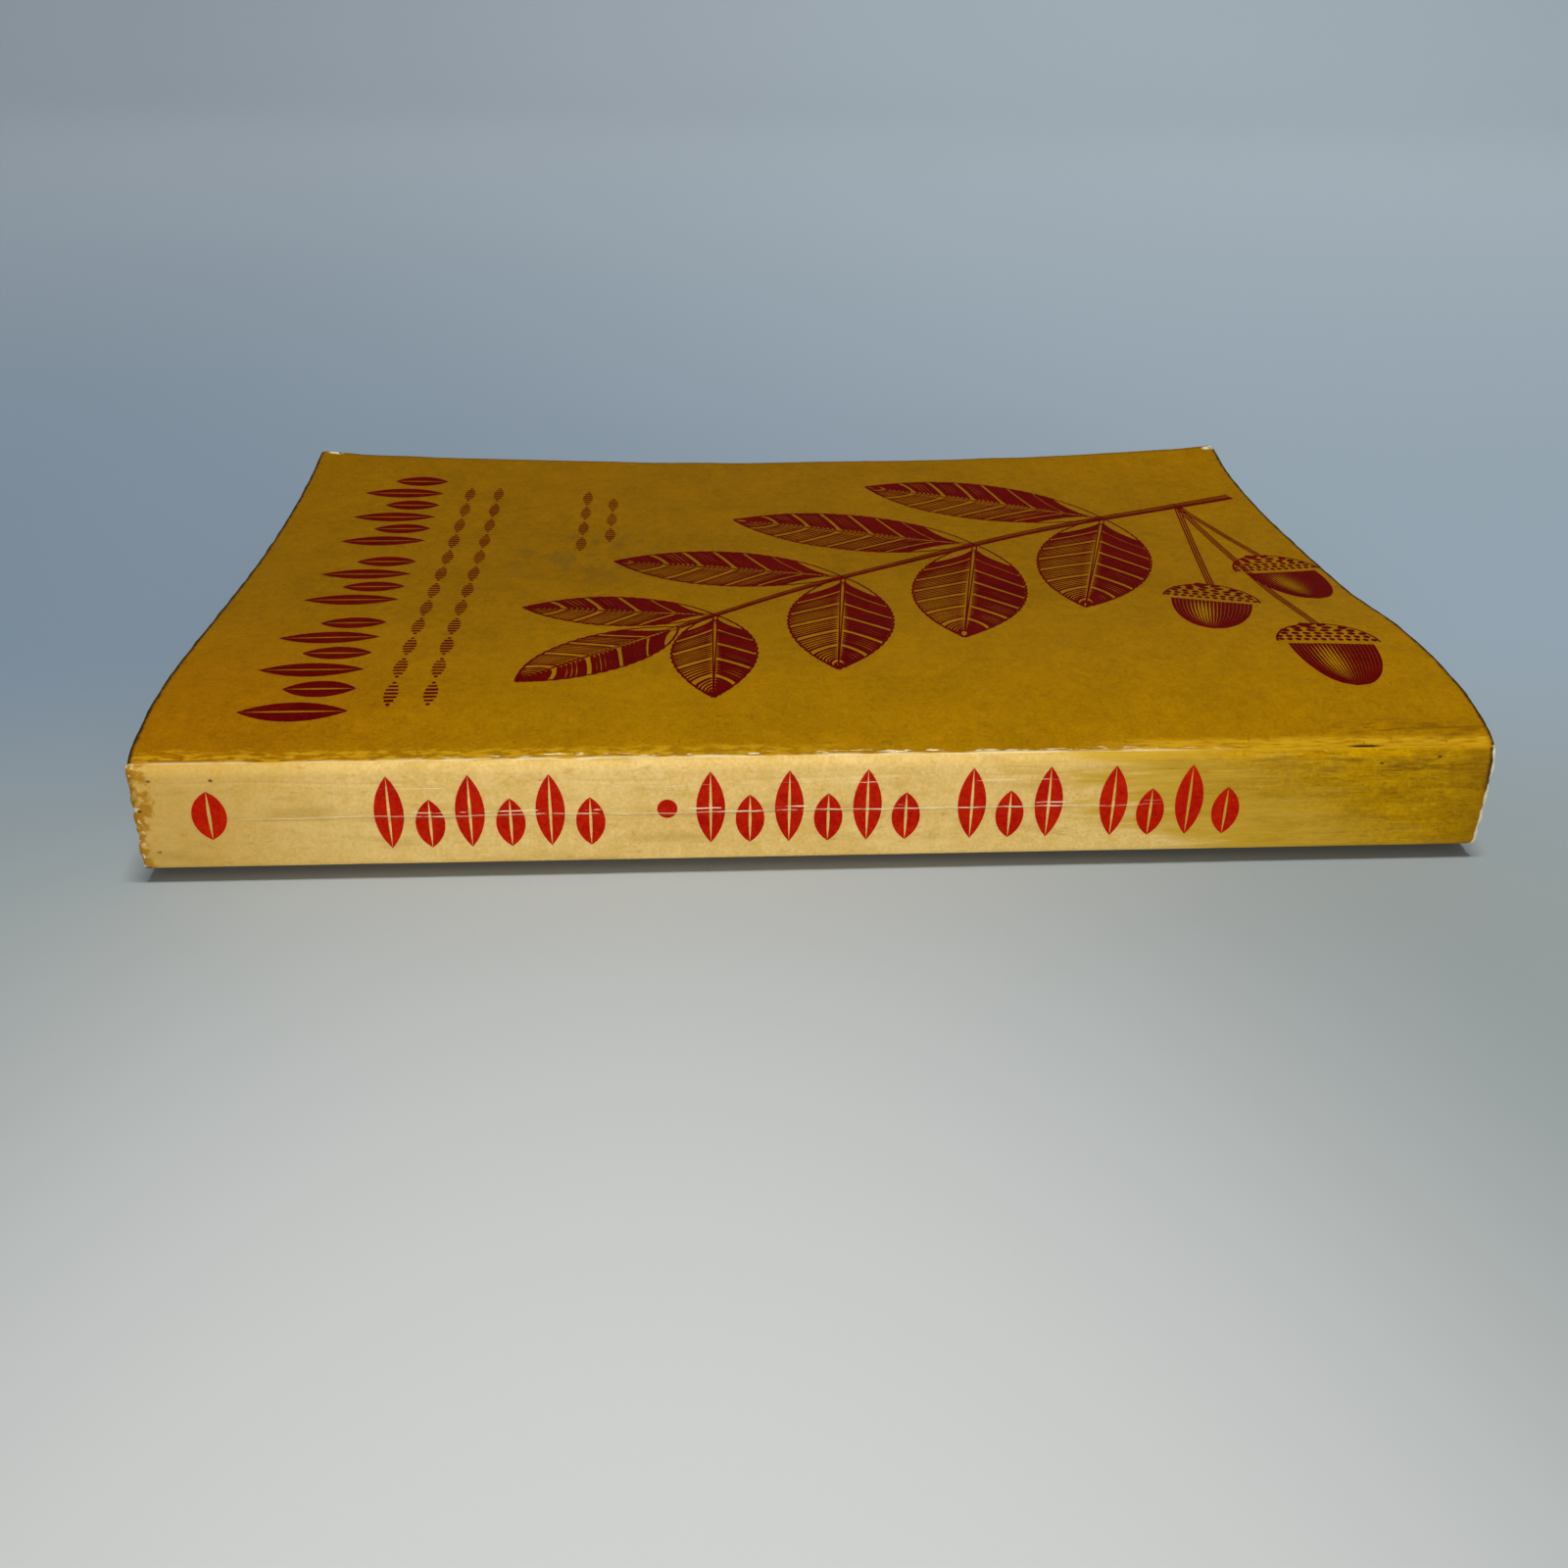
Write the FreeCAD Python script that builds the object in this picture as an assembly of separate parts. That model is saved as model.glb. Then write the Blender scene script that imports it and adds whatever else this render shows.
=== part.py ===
import FreeCAD, Part
import math
import os

os.makedirs("parts", exist_ok=True)

# Paperback book, closed and lying on its back cover: head at -X, spine at -Y, front cover up.
# Millimetres. The origin is on the table under the middle of the closed book.

# Overall sizes
book_length = 203.0
book_width = 137.0
top_fold_height = 18.5
bottom_fold_lift = 1.5

# Card, binding glue and clearances
card_thickness = 0.3
glue_thickness = 0.6
hinge_gap = 0.2
hinge_lift = 0.1
cover_clearance = 0.2
page_inset = 0.3
corner_radius = 1.5

# Spine section, as headings in degrees of the outline on its way down from the front cover
shoulder_heading = 212.0
face_top_heading = 259.0
face_bottom_heading = 268.0
furthest_heading = 270.0
flat_heading = 360.0
top_fold_radius = 2.8
bottom_fold_radius = 1.8
ramp_run = 12.0

# Rise of the front cover over its fold at shares of its width, for head end, middle and tail end
rise_shares = (0.0, 0.05, 0.13, 0.26, 0.40, 0.58, 0.80, 0.95, 1.0)
head_rises = (0.0, 1.7, 2.5, 1.5, -0.2, -1.95, -2.5, -1.5, -1.0)
middle_rises = (0.0, 1.9, 2.55, 1.55, -0.05, -1.65, -2.95, -3.35, -3.45)
tail_rises = (0.0, 2.25, 3.3, 2.75, 0.4, -1.1, -2.0, -0.85, 0.3)

# Grid that the cover's surface passes through, reaching a margin past the card on every side
grid_columns = 5
grid_rows = 20
grid_crowding = 1.6
surface_margin = 1.0
headroom = 10.0

# Printed fields: ink film, ornament frieze along the head, small rows of dashes below it
film_thickness = 0.12
frieze_bottom_inset = 13.0
frieze_height = 16.5
frieze_start = 7.5
frieze_pitch = 6.8
frieze_leaf_width = 5.2
frieze_counts = (6, 4, 6)
group_gap_share = 0.7
short_leaf_share = 0.68
dash_length = 8.0
dash_width = 1.7
dash_pitch = 9.0
dash_row_insets = (35.0, 41.0, 60.0, 65.5)
dash_row_starts = (12.0, 12.0, 82.0, 87.0)
dash_counts = (12, 12, 4, 3)

# Leafy branch printed on the front cover, placed from its head end and its fold
branch_base = (199.0, 111.0)
branch_tip = (79.0, 42.0)
branch_bow = 7.0
branch_width = 2.6
leaf_pair_shares = (0.24, 0.48, 0.72, 0.94)
leaf_lengths = (52.0, 50.0, 44.0, 34.0)
leaf_spread_angle = 48.0
leaf_width_share = 0.42
tip_leaf_length = 34.0
vein_width = 0.9
vein_start_share = 0.1
vein_end_share = 0.86

# Acorns beside the branch's base: place and heading of each cap at its stalk
acorn_places = ((193.0, 76.0), (178.0, 60.0), (189.0, 38.0))
acorn_headings = (-84.0, -108.0, -96.0)
acorn_cap_length = 8.0
acorn_cap_width = 17.0
acorn_gap = 1.0
acorn_nut_length = 15.0
acorn_nut_width = 14.0
acorn_nut_fullness = 0.92
stalk_share = 0.1
stalk_width = 1.4

# Spine print: a small upright leaf, two friezes and a dot between them
spine_print_height = 11.6
spine_print_base = 5.0
spine_frieze_pitch = 5.85
spine_leaf_width = 4.3
spine_first_start = 33.5
spine_first_counts = (6,)
spine_second_start = 80.5
spine_second_counts = (6, 3, 4)
spine_dot_place = 77.0
spine_dot_radius = 1.5
spine_mark_place = 10.8
spine_mark_height = 7.7
spine_mark_width = 5.0

Vector = FreeCAD.Vector
ALONG_BOOK = Vector(1, 0, 0)
UP = Vector(0, 0, 1)


def ahead(heading):
    """Direction of travel in the section, for a heading in degrees."""
    angle = math.radians(heading)
    return Vector(0, math.cos(angle), math.sin(angle))


def inward(heading):
    """Direction towards the inside of the book, on the left of the outline."""
    return ahead(heading + 90.0)


def arc_run(heading_in, heading_out, radius):
    """Travel along an arc of the outline that turns left between two headings."""
    return radius * (inward(heading_in) - inward(heading_out))


def spine_stretches():
    """Arcs of the outline from the top fold to the flat of the back cover, and their meeting points."""
    headings = (shoulder_heading, face_top_heading, face_bottom_heading, ramp_heading, flat_heading)
    radii = (top_fold_radius, face_radius, bottom_fold_radius, ramp_radius)
    stretches = []
    point = top_fold
    for heading_in, heading_out, radius in zip(headings, headings[1:], radii):
        centre = point + radius * inward(heading_in)
        stretches.append((centre, radius, heading_in, heading_out))
        point = point + arc_run(heading_in, heading_out, radius)
    return stretches


# The ramp under the spine meets the flat of the back cover at its tangent.
ramp_angle = 2.0 * math.degrees(math.atan(bottom_fold_lift / ramp_run))
ramp_heading = flat_heading - ramp_angle
ramp_radius = ramp_run / math.sin(math.radians(ramp_angle))

# The face's radius takes up the height that the two folds leave.
top_fold_run = arc_run(shoulder_heading, face_top_heading, top_fold_radius)
bottom_fold_run = arc_run(face_bottom_heading, ramp_heading, bottom_fold_radius)
face_drop = top_fold_height - bottom_fold_lift + top_fold_run.z + bottom_fold_run.z
face_radius = face_drop / (ahead(face_bottom_heading).y - ahead(face_top_heading).y)
face_run = arc_run(face_top_heading, face_bottom_heading, face_radius)

# The spine leans out at its foot: by so much at its furthest point, and by so much at its lower fold.
furthest_run = arc_run(face_bottom_heading, furthest_heading, bottom_fold_radius)
spine_overhang = -(top_fold_run + face_run + furthest_run).y
spine_lean = -(top_fold_run + face_run + bottom_fold_run).y

top_fold = Vector(0, (spine_overhang - book_width) / 2.0, top_fold_height)
bottom_fold = top_fold + top_fold_run + face_run + bottom_fold_run
head_end = -book_length / 2.0
front_fore_edge = top_fold.y + book_width
back_fore_edge = front_fore_edge - spine_lean
ceiling = top_fold_height + headroom


def offset_arc(stretch, depth):
    """One arc of the outline, moved inward by a depth."""
    centre, radius, heading_in, heading_out = stretch
    headings = (heading_in, (heading_in + heading_out) / 2.0, heading_out)
    points = [centre - (radius - depth) * inward(heading) for heading in headings]
    return Part.Arc(*points).toShape()


def first_point(edge):
    return edge.valueAt(edge.FirstParameter)


def last_point(edge):
    return edge.valueAt(edge.LastParameter)


def prism_along_book(edges, inset):
    """Solid of a closed section, as long as the book less an inset at each end."""
    wire = Part.Wire(Part.__sortEdges__(edges))
    face = Part.Face(wire)
    face.translate((head_end + inset) * ALONG_BOOK)
    return face.extrude((book_length - 2.0 * inset) * ALONG_BOOK)


def layer(stretches, outer_depth, inner_depth, inset):
    """Solid between two depths inside the outline."""
    outer = [offset_arc(stretch, outer_depth) for stretch in stretches]
    inner = [offset_arc(stretch, inner_depth) for stretch in stretches]
    start = Part.makeLine(first_point(outer[0]), first_point(inner[0]))
    end = Part.makeLine(last_point(outer[-1]), last_point(inner[-1]))
    return prism_along_book(outer + inner + [start, end], inset)


def before_folds(solid):
    """The solid without what reaches past the slits that part the spine from the two covers."""
    middle = (top_fold_height + bottom_fold_lift) / 2.0
    slits = ((top_fold.y, middle, ceiling), (bottom_fold.y, -headroom, middle))
    for fold_y, bottom, top in slits:
        corner = Vector(head_end - headroom, fold_y - hinge_gap / 2.0, bottom)
        waste = Part.makeBox(book_length + 2.0 * headroom, book_width, top - bottom, corner)
        solid = solid.cut(waste)
    return solid


def cover_rise(share, rises, first_slope):
    """Smooth rise through the named points, leaving the fold at the spine's own slope."""
    gaps = [after - before for before, after in zip(rise_shares, rise_shares[1:])]
    secants = [(rises[i + 1] - rises[i]) / gaps[i] for i in range(len(gaps))]
    slopes = [first_slope]
    for i in range(1, len(gaps)):
        blend = gaps[i] * secants[i - 1] + gaps[i - 1] * secants[i]
        slopes.append(blend / (gaps[i - 1] + gaps[i]))
    slopes.append(secants[-1])
    span = 0
    while span < len(gaps) - 1 and share > rise_shares[span + 1]:
        span += 1
    t = (share - rise_shares[span]) / gaps[span]
    ends = rises[span] * (2.0 * t**3 - 3.0 * t**2 + 1.0) + rises[span + 1] * (3.0 * t**2 - 2.0 * t**3)
    leaving = slopes[span] * gaps[span] * (t**3 - 2.0 * t**2 + t)
    arriving = slopes[span + 1] * gaps[span] * (t**3 - t**2)
    return ends + leaving + arriving


def cover_height(x, y):
    """Height of the closed front cover's outer face over the table."""
    share = (y - top_fold.y) / book_width
    first_slope = math.tan(math.radians(shoulder_heading - 180.0)) * book_width
    head, middle, tail = (cover_rise(share, rises, first_slope) for rises in (head_rises, middle_rises, tail_rises))
    along = x / (book_length / 2.0)
    rise = middle + along * (tail - head) / 2.0 + along**2 * ((head + tail) / 2.0 - middle)
    return top_fold_height + rise


def cover_face(depth):
    """Face that lies a depth under the front cover's outer face."""
    rows = []
    for column in range(grid_columns):
        x = (head_end - surface_margin) * (1.0 - 2.0 * column / (grid_columns - 1))
        row = []
        for step in range(grid_rows):
            reach = (step / (grid_rows - 1)) ** grid_crowding
            y = top_fold.y - surface_margin + (book_width + 2.0 * surface_margin) * reach
            row.append(Vector(x, y, cover_height(x, y) - depth))
        rows.append(row)
    surface = Part.BSplineSurface()
    surface.interpolate(rows)
    return surface.toShape()


def cover_plan(fold_y, fore_edge):
    """Prism of a cover's plan: straight at its slit, rounded at the two corners of the fore-edge."""
    start = fold_y + hinge_gap / 2.0
    block = Part.makeBox(book_length, fore_edge - start, 2.0 * ceiling, Vector(head_end, start, -ceiling))
    corners = []
    for edge in block.Edges:
        is_upright = abs(edge.tangentAt(edge.FirstParameter).z) > 0.5
        if is_upright and edge.CenterOfMass.y > (start + fore_edge) / 2.0:
            corners.append(edge)
    return block.makeFillet(corner_radius, corners)


def front_cover():
    sheet = cover_face(0.0).extrude(-card_thickness * UP)
    return sheet.common(cover_plan(top_fold.y, front_fore_edge))


def back_cover():
    ramp = spine_stretches()[-1]
    outer = offset_arc(ramp, 0.0)
    inner = offset_arc(ramp, card_thickness)
    fore_bottom = Vector(0, back_fore_edge, 0)
    fore_top = Vector(0, back_fore_edge, card_thickness)
    edges = [outer, inner]
    edges.append(Part.makeLine(first_point(outer), first_point(inner)))
    edges.append(Part.makeLine(last_point(outer), fore_bottom))
    edges.append(Part.makeLine(fore_bottom, fore_top))
    edges.append(Part.makeLine(fore_top, last_point(inner)))
    sheet = prism_along_book(edges, 0.0)
    return sheet.common(cover_plan(bottom_fold.y, back_fore_edge))


def spine_cover():
    return before_folds(layer(spine_stretches()[:-1], 0.0, card_thickness, 0.0))


def spine_glue():
    depth = card_thickness + glue_thickness
    return before_folds(layer(spine_stretches()[:-1], card_thickness, depth, page_inset))


def page_block():
    """All the leaves as one solid, between the glue, the two covers' air gaps and the cut edges."""
    stretches = spine_stretches()
    glue_depth = card_thickness + glue_thickness
    floor_depth = card_thickness + cover_clearance
    spine_side = [offset_arc(stretch, glue_depth) for stretch in stretches[:-1]]
    ramp = offset_arc(stretches[-1], floor_depth)
    corners = [last_point(ramp)]
    corners.append(Vector(0, back_fore_edge - page_inset, floor_depth))
    corners.append(Vector(0, front_fore_edge - page_inset, top_fold_height))
    corners.append(Vector(0, front_fore_edge - page_inset, ceiling))
    corners.append(Vector(0, first_point(spine_side[0]).y, ceiling))
    corners.append(first_point(spine_side[0]))
    step = Part.makeLine(last_point(spine_side[-1]), first_point(ramp))
    straight = [Part.makeLine(before, after) for before, after in zip(corners, corners[1:])]
    prism = prism_along_book(spine_side + [step, ramp] + straight, page_inset)
    under_cover = cover_face(floor_depth).extrude(-2.0 * ceiling * UP)
    return prism.common(under_cover)


def leaf_outline(length, width):
    """Pointed leaf lying along +X from its stalk end, as two arcs."""
    stalk = Vector(0, 0, 0)
    tip = Vector(length, 0, 0)
    one_side = Part.Arc(stalk, Vector(length / 2.0, width / 2.0, 0), tip).toShape()
    other_side = Part.Arc(tip, Vector(length / 2.0, -width / 2.0, 0), stalk).toShape()
    return Part.Face(Part.Wire([one_side, other_side]))


def veined_leaf(length, width):
    """Pointed leaf with a bare midrib."""
    rib_length = (vein_end_share - vein_start_share) * length
    rib = leaf_outline(rib_length, vein_width)
    rib.translate(Vector(vein_start_share * length, 0, 0))
    return leaf_outline(length, width).cut(rib)


def acorn():
    """Domed cap and pointed nut lying along +X from the stalk, with a bare line between them."""
    cap_ends = [Vector(acorn_cap_length, side * acorn_cap_width / 2.0, 0) for side in (-1, 1)]
    dome = Part.Arc(cap_ends[0], Vector(0, 0, 0), cap_ends[1]).toShape()
    rim = Part.makeLine(cap_ends[1], cap_ends[0])
    cap = Part.Face(Part.Wire([dome, rim]))
    nut_start = acorn_cap_length + acorn_gap
    nut_middle = nut_start + acorn_nut_length / 2.0
    half_width = acorn_nut_width / 2.0
    shoulders = [Vector(nut_start, side * half_width, 0) for side in (-1, 1)]
    flanks = [Vector(nut_middle, side * half_width * acorn_nut_fullness, 0) for side in (-1, 1)]
    tip = Vector(nut_start + acorn_nut_length, 0, 0)
    edges = [Part.makeLine(shoulders[1], shoulders[0])]
    edges.append(Part.Arc(shoulders[0], flanks[0], tip).toShape())
    edges.append(Part.Arc(tip, flanks[1], shoulders[1]).toShape())
    return [cap, Part.Face(Part.Wire(edges))]


def turned(face, x, y, angle):
    """A flat shape turned about its stalk end and set on the cover's plan."""
    face = face.copy()
    face.rotate(Vector(0, 0, 0), UP, angle)
    face.translate(Vector(x, y, 0))
    return face


def frieze(counts, pitch, height, width):
    """Row of upright leaves along +X, tall and short in turn, in groups with a wider gap between."""
    leaves = []
    place = pitch / 2.0
    for count in counts:
        for index in range(count):
            share = 1.0 if index % 2 == 0 else short_leaf_share
            leaf = leaf_outline(share * height, width)
            leaves.append(turned(leaf, place, 0.0, 90.0))
            place += pitch
        place += group_gap_share * pitch
    return leaves


def cover_frieze():
    """Ornament band along the head, its leaves pointing to the head end."""
    leaves = frieze(frieze_counts, frieze_pitch, frieze_height, frieze_leaf_width)
    foot = head_end + frieze_bottom_inset + frieze_height
    return [turned(leaf, foot, top_fold.y + frieze_start, 90.0) for leaf in leaves]


def cover_dashes():
    """Rows of slim dashes that stand for small print, each row across the cover."""
    dashes = []
    for inset, start, count in zip(dash_row_insets, dash_row_starts, dash_counts):
        for index in range(count):
            dash = leaf_outline(dash_length, dash_width)
            place = top_fold.y + start + index * dash_pitch
            dashes.append(turned(dash, head_end + inset, place, 90.0))
    return dashes


def branch_point(share):
    """Place on the bowed branch, and its heading there in degrees."""
    base = Vector(*branch_base, 0)
    along = Vector(*branch_tip, 0) - base
    across = along.cross(UP).normalize()
    point = base + share * along + 4.0 * branch_bow * share * (1.0 - share) * across
    heading = along + 4.0 * branch_bow * (1.0 - 2.0 * share) * across
    point = point + Vector(head_end, top_fold.y, 0)
    return point, math.degrees(math.atan2(heading.y, heading.x))


def branch_stem():
    """Bowed stem of even width, from the branch's base to its last leaf."""
    sides = []
    for side in (-0.5, 0.5):
        points = []
        for share in (0.0, 0.5, 1.0):
            point, heading = branch_point(share)
            turn = math.radians(heading + 90.0)
            points.append(point + side * branch_width * Vector(math.cos(turn), math.sin(turn), 0))
        sides.append(Part.Arc(*points).toShape())
    ends = [Part.makeLine(first_point(sides[0]), first_point(sides[1]))]
    ends.append(Part.makeLine(last_point(sides[0]), last_point(sides[1])))
    return Part.Face(Part.Wire(Part.__sortEdges__(sides + ends)))


def acorn_stalk(inset, reach):
    """Straight thin stalk from the branch to the cap of one acorn."""
    start, heading = branch_point(stalk_share)
    along = Vector(head_end + inset, top_fold.y + reach, 0) - start
    stalk = Part.makePlane(along.Length, stalk_width, Vector(0, -stalk_width / 2.0, 0))
    return turned(stalk, start.x, start.y, math.degrees(math.atan2(along.y, along.x)))


def printed_branch():
    """Fields of the printed branch: its stem, paired leaves, last leaf and stalked acorns."""
    stem = branch_stem()
    leaves = []
    for share, length in zip(leaf_pair_shares, leaf_lengths):
        point, heading = branch_point(share)
        leaf = veined_leaf(length, leaf_width_share * length)
        for side in (-1, 1):
            leaves.append(turned(leaf, point.x, point.y, heading + side * leaf_spread_angle))
    point, heading = branch_point(1.0)
    last_leaf = veined_leaf(tip_leaf_length, leaf_width_share * tip_leaf_length)
    leaves.append(turned(last_leaf, point.x, point.y, heading))
    fields = [stem] + [leaf.cut(stem) for leaf in leaves]
    for (inset, reach), heading in zip(acorn_places, acorn_headings):
        fields += [turned(half, head_end + inset, top_fold.y + reach, heading) for half in acorn()]
    for inset, reach in acorn_places:
        stalk = acorn_stalk(inset, reach)
        fields.append(stalk.cut(fields))
    return fields


def film_pieces(sheet, stencils):
    """Ink film left where the stencil prisms pass through a sheet."""
    pieces = []
    for stencil in stencils:
        pieces += sheet.common(stencil).Solids
    return pieces


def front_print():
    sheet = cover_face(0.0).extrude(film_thickness * UP)
    sheet = sheet.common(cover_plan(top_fold.y, front_fore_edge))
    shapes = cover_frieze() + cover_dashes() + printed_branch()
    stencils = [shape.extrude(ceiling * UP) for shape in shapes]
    return Part.makeCompound(film_pieces(sheet, stencils))


def spine_shapes():
    """Flat shapes of the spine's print, with X along the book and Y for the height."""
    base = spine_print_base
    shapes = []
    rows = ((spine_first_start, spine_first_counts), (spine_second_start, spine_second_counts))
    for start, counts in rows:
        for leaf in frieze(counts, spine_frieze_pitch, spine_print_height, spine_leaf_width):
            shapes.append(turned(leaf, head_end + start, base, 0.0))
    middle = base + spine_print_height / 2.0
    dot_centre = Vector(head_end + spine_dot_place, middle, 0)
    dot = Part.makeCircle(spine_dot_radius, dot_centre)
    shapes.append(Part.Face(Part.Wire([dot])))
    mark = leaf_outline(spine_mark_height, spine_mark_width)
    shapes.append(turned(mark, head_end + spine_mark_place, middle - spine_mark_height / 2.0, 90.0))
    return shapes


def spine_print():
    sheet = layer(spine_stretches()[:-1], -film_thickness, 0.0, 0.0)
    stencils = []
    for shape in spine_shapes():
        shape.rotate(Vector(0, 0, 0), ALONG_BOOK, 90.0)
        shape.translate(Vector(0, top_fold.y, 0))
        stencils.append(shape.extrude(Vector(0, -headroom, 0)))
    return Part.makeCompound(film_pieces(sheet, stencils))


nodes = {
    "front_cover": front_cover,
    "front_print": front_print,
    "spine_cover": spine_cover,
    "spine_print": spine_print,
    "spine_glue": spine_glue,
    "page_block": page_block,
    "back_cover": back_cover,
}

for name, build in nodes.items():
    build().exportStep(f"parts/{name}.step")

# Hinge lines of the two covers, just outside the card at each fold
top_hinge = top_fold - hinge_lift * inward(shoulder_heading)
bottom_hinge = bottom_fold - hinge_lift * inward(ramp_heading)
print("front cover hinge", top_hinge)
print("back cover hinge", bottom_hinge)
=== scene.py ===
import math

import bpy
import numpy as np
from mathutils import Matrix, Vector


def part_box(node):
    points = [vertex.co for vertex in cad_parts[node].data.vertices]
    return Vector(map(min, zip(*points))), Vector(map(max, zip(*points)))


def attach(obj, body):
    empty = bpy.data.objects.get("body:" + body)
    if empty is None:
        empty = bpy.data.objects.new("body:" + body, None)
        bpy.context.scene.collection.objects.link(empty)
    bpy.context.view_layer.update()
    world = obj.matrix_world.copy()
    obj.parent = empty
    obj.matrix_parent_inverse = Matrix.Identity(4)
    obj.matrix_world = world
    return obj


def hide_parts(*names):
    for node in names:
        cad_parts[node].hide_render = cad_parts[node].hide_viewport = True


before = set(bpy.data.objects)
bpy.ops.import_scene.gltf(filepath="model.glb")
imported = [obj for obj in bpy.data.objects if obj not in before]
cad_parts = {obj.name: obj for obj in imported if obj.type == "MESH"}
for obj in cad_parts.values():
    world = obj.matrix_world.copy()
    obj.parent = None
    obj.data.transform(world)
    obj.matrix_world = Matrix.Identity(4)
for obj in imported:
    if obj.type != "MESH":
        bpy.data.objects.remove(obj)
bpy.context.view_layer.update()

# A worn paperback book, closed on its back cover: head at -X, spine at -Y, front cover up.
# Lengths are in metres through the unit below; the book's outline follows its construction.
MM = 0.001
rng = np.random.default_rng(7)

# Section of the spine, as headings in degrees of its outline on the way down from the front cover
SHOULDER_HEADING = 212.0
FACE_TOP_HEADING = 259.0
FACE_BOTTOM_HEADING = 268.0
FLAT_HEADING = 360.0
TOP_FOLD_RADIUS = 2.8 * MM
BOTTOM_FOLD_RADIUS = 1.8 * MM
RAMP_RUN = 12.0 * MM
BOTTOM_FOLD_LIFT = 1.5 * MM
TOP_FOLD_HEIGHT = 18.5 * MM
HINGE_GAP = 0.2 * MM
CARD = 0.3 * MM
GLUE = 0.6 * MM
COVER_CLEARANCE = 0.2 * MM
PAGE_INSET = 0.3 * MM
PAGE = 0.1 * MM
INK_LIFT = 0.03 * MM
CORNER_RADIUS = 1.5 * MM

# Rise of the front cover over its fold at shares of its width, for head end, middle and tail end
RISE_SHARES = np.array((0.0, 0.05, 0.13, 0.26, 0.40, 0.58, 0.80, 0.95, 1.0))
HEAD_RISES = np.array((0.0, 1.7, 2.5, 1.5, -0.2, -1.95, -2.5, -1.5, -1.0)) * MM
MIDDLE_RISES = np.array((0.0, 1.9, 2.55, 1.55, -0.05, -1.65, -2.95, -3.35, -3.45)) * MM
TAIL_RISES = np.array((0.0, 2.25, 3.3, 2.75, 0.4, -1.1, -2.0, -0.85, 0.3)) * MM

# Creases of the spine in millimetres: height on its face, depth, half width, and a seed each
SPINE_CREASES = ((9.6, 0.10, 0.35, 41), (15.6, 0.05, 0.25, 43), (4.4, 0.04, 0.3, 45))

# Steps that the leaf edges show over the depth of the block
PAGE_COUNT = 168

# Ornament band along the head of the front cover
BAND_INSET = 13.0 * MM
BAND_START = 7.5 * MM
BAND_HEIGHT = 16.5 * MM
BAND_PITCH = 6.8 * MM
BAND_LEAF_WIDTH = 5.2 * MM
BAND_COUNTS = (6, 4, 6)
SHORT_LEAF_SHARE = 0.68
GROUP_GAP_SHARE = 0.7

# Rows of dashes: millimetres from the head, millimetres from the fold, and dashes in the row
DASH_ROWS = ((35.0, 12.0, 12), (41.0, 12.0, 12), (60.0, 82.0, 4), (65.5, 87.0, 3))
DASH_LENGTH = 8.0 * MM
DASH_WIDTH = 1.7 * MM
DASH_PITCH = 9.0 * MM
DASH_STROKES = 7

# Leafy branch on the front cover, placed from its head end and its fold
BRANCH_BASE = np.array((199.0, 111.0)) * MM
BRANCH_TIP = np.array((79.0, 42.0)) * MM
BRANCH_BOW = 7.0 * MM
STEM_LINES = ((-1.1, 0.4), (-0.55, 0.35), (0.0, 0.3), (0.5, 0.5), (1.05, 0.55))
LEAF_PAIRS = ((0.24, 52.0), (0.48, 50.0), (0.72, 44.0), (0.94, 34.0))
TIP_LEAF_LENGTH = 34.0 * MM
LEAF_SPREAD_ANGLE = 48.0
LEAF_WIDTH_SHARE = 0.42
HATCH_PITCH = 0.95 * MM
FIRST_VEIN = 5
VEIN_SPACING = 7

# Acorns: place and heading of each, and the sizes that all of them share
ACORNS = (((193.0, 76.0), -84.0), ((178.0, 60.0), -108.0), ((189.0, 38.0), -96.0))
CAP_LENGTH = 8.0 * MM
CAP_WIDTH = 17.0 * MM
CAP_GAP = 1.0 * MM
NUT_LENGTH = 15.0 * MM
NUT_WIDTH = 14.0 * MM
STALK_SHARE = 0.1

# Spine print: two friezes as millimetres from the head and leaves in a group, a dot, a small leaf
SPINE_FRIEZES = ((33.5, (6,)), (80.5, (6, 3, 4)))
SPINE_PRINT_BASE = 5.0 * MM
SPINE_PRINT_HEIGHT = 11.6 * MM
SPINE_PITCH = 5.85 * MM
SPINE_LEAF_WIDTH = 4.3 * MM
DOT_PLACE = 77.0 * MM
DOT_RADIUS = 1.5 * MM
MARK_PLACE = 10.8 * MM
MARK_HEIGHT = 7.7 * MM
MARK_WIDTH = 5.0 * MM
MARK_RIB = 0.5 * MM

# The book's place, from the frame
cover_low, cover_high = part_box("front_cover")
back_low, back_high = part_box("back_cover")
HEAD = cover_low.x
TAIL = cover_high.x
LENGTH = TAIL - HEAD
FOLD = cover_low.y - HINGE_GAP / 2.0
WIDTH = cover_high.y - FOLD
LOWER_FOLD = back_low.y - HINGE_GAP / 2.0
BACK_FORE_EDGE = back_high.y


def smooth(value, low, high):
    """Rises smoothly from 0 at low to 1 at high."""
    t = np.clip((value - low) / (high - low), 0.0, 1.0)
    return t * t * (3.0 - 2.0 * t)


def waves(x, y, size, seed, octaves=3):
    """Soft seeded unevenness between about -1 and 1, whose largest swells are the given size."""
    source = np.random.default_rng(seed)
    total = np.zeros(np.broadcast(x, y).shape)
    for octave in range(octaves):
        for _ in range(4):
            angle, phase = source.uniform(0.0, 2.0 * math.pi, 2)
            stretch = source.uniform(0.7, 1.4)
            number = 2.0 * math.pi * 2.0**octave * stretch / size
            turn = number * (x * math.cos(angle) + y * math.sin(angle))
            total = total + 0.35 * 0.6**octave * np.sin(turn + phase)
    return total


# Shape of the closed book


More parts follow.
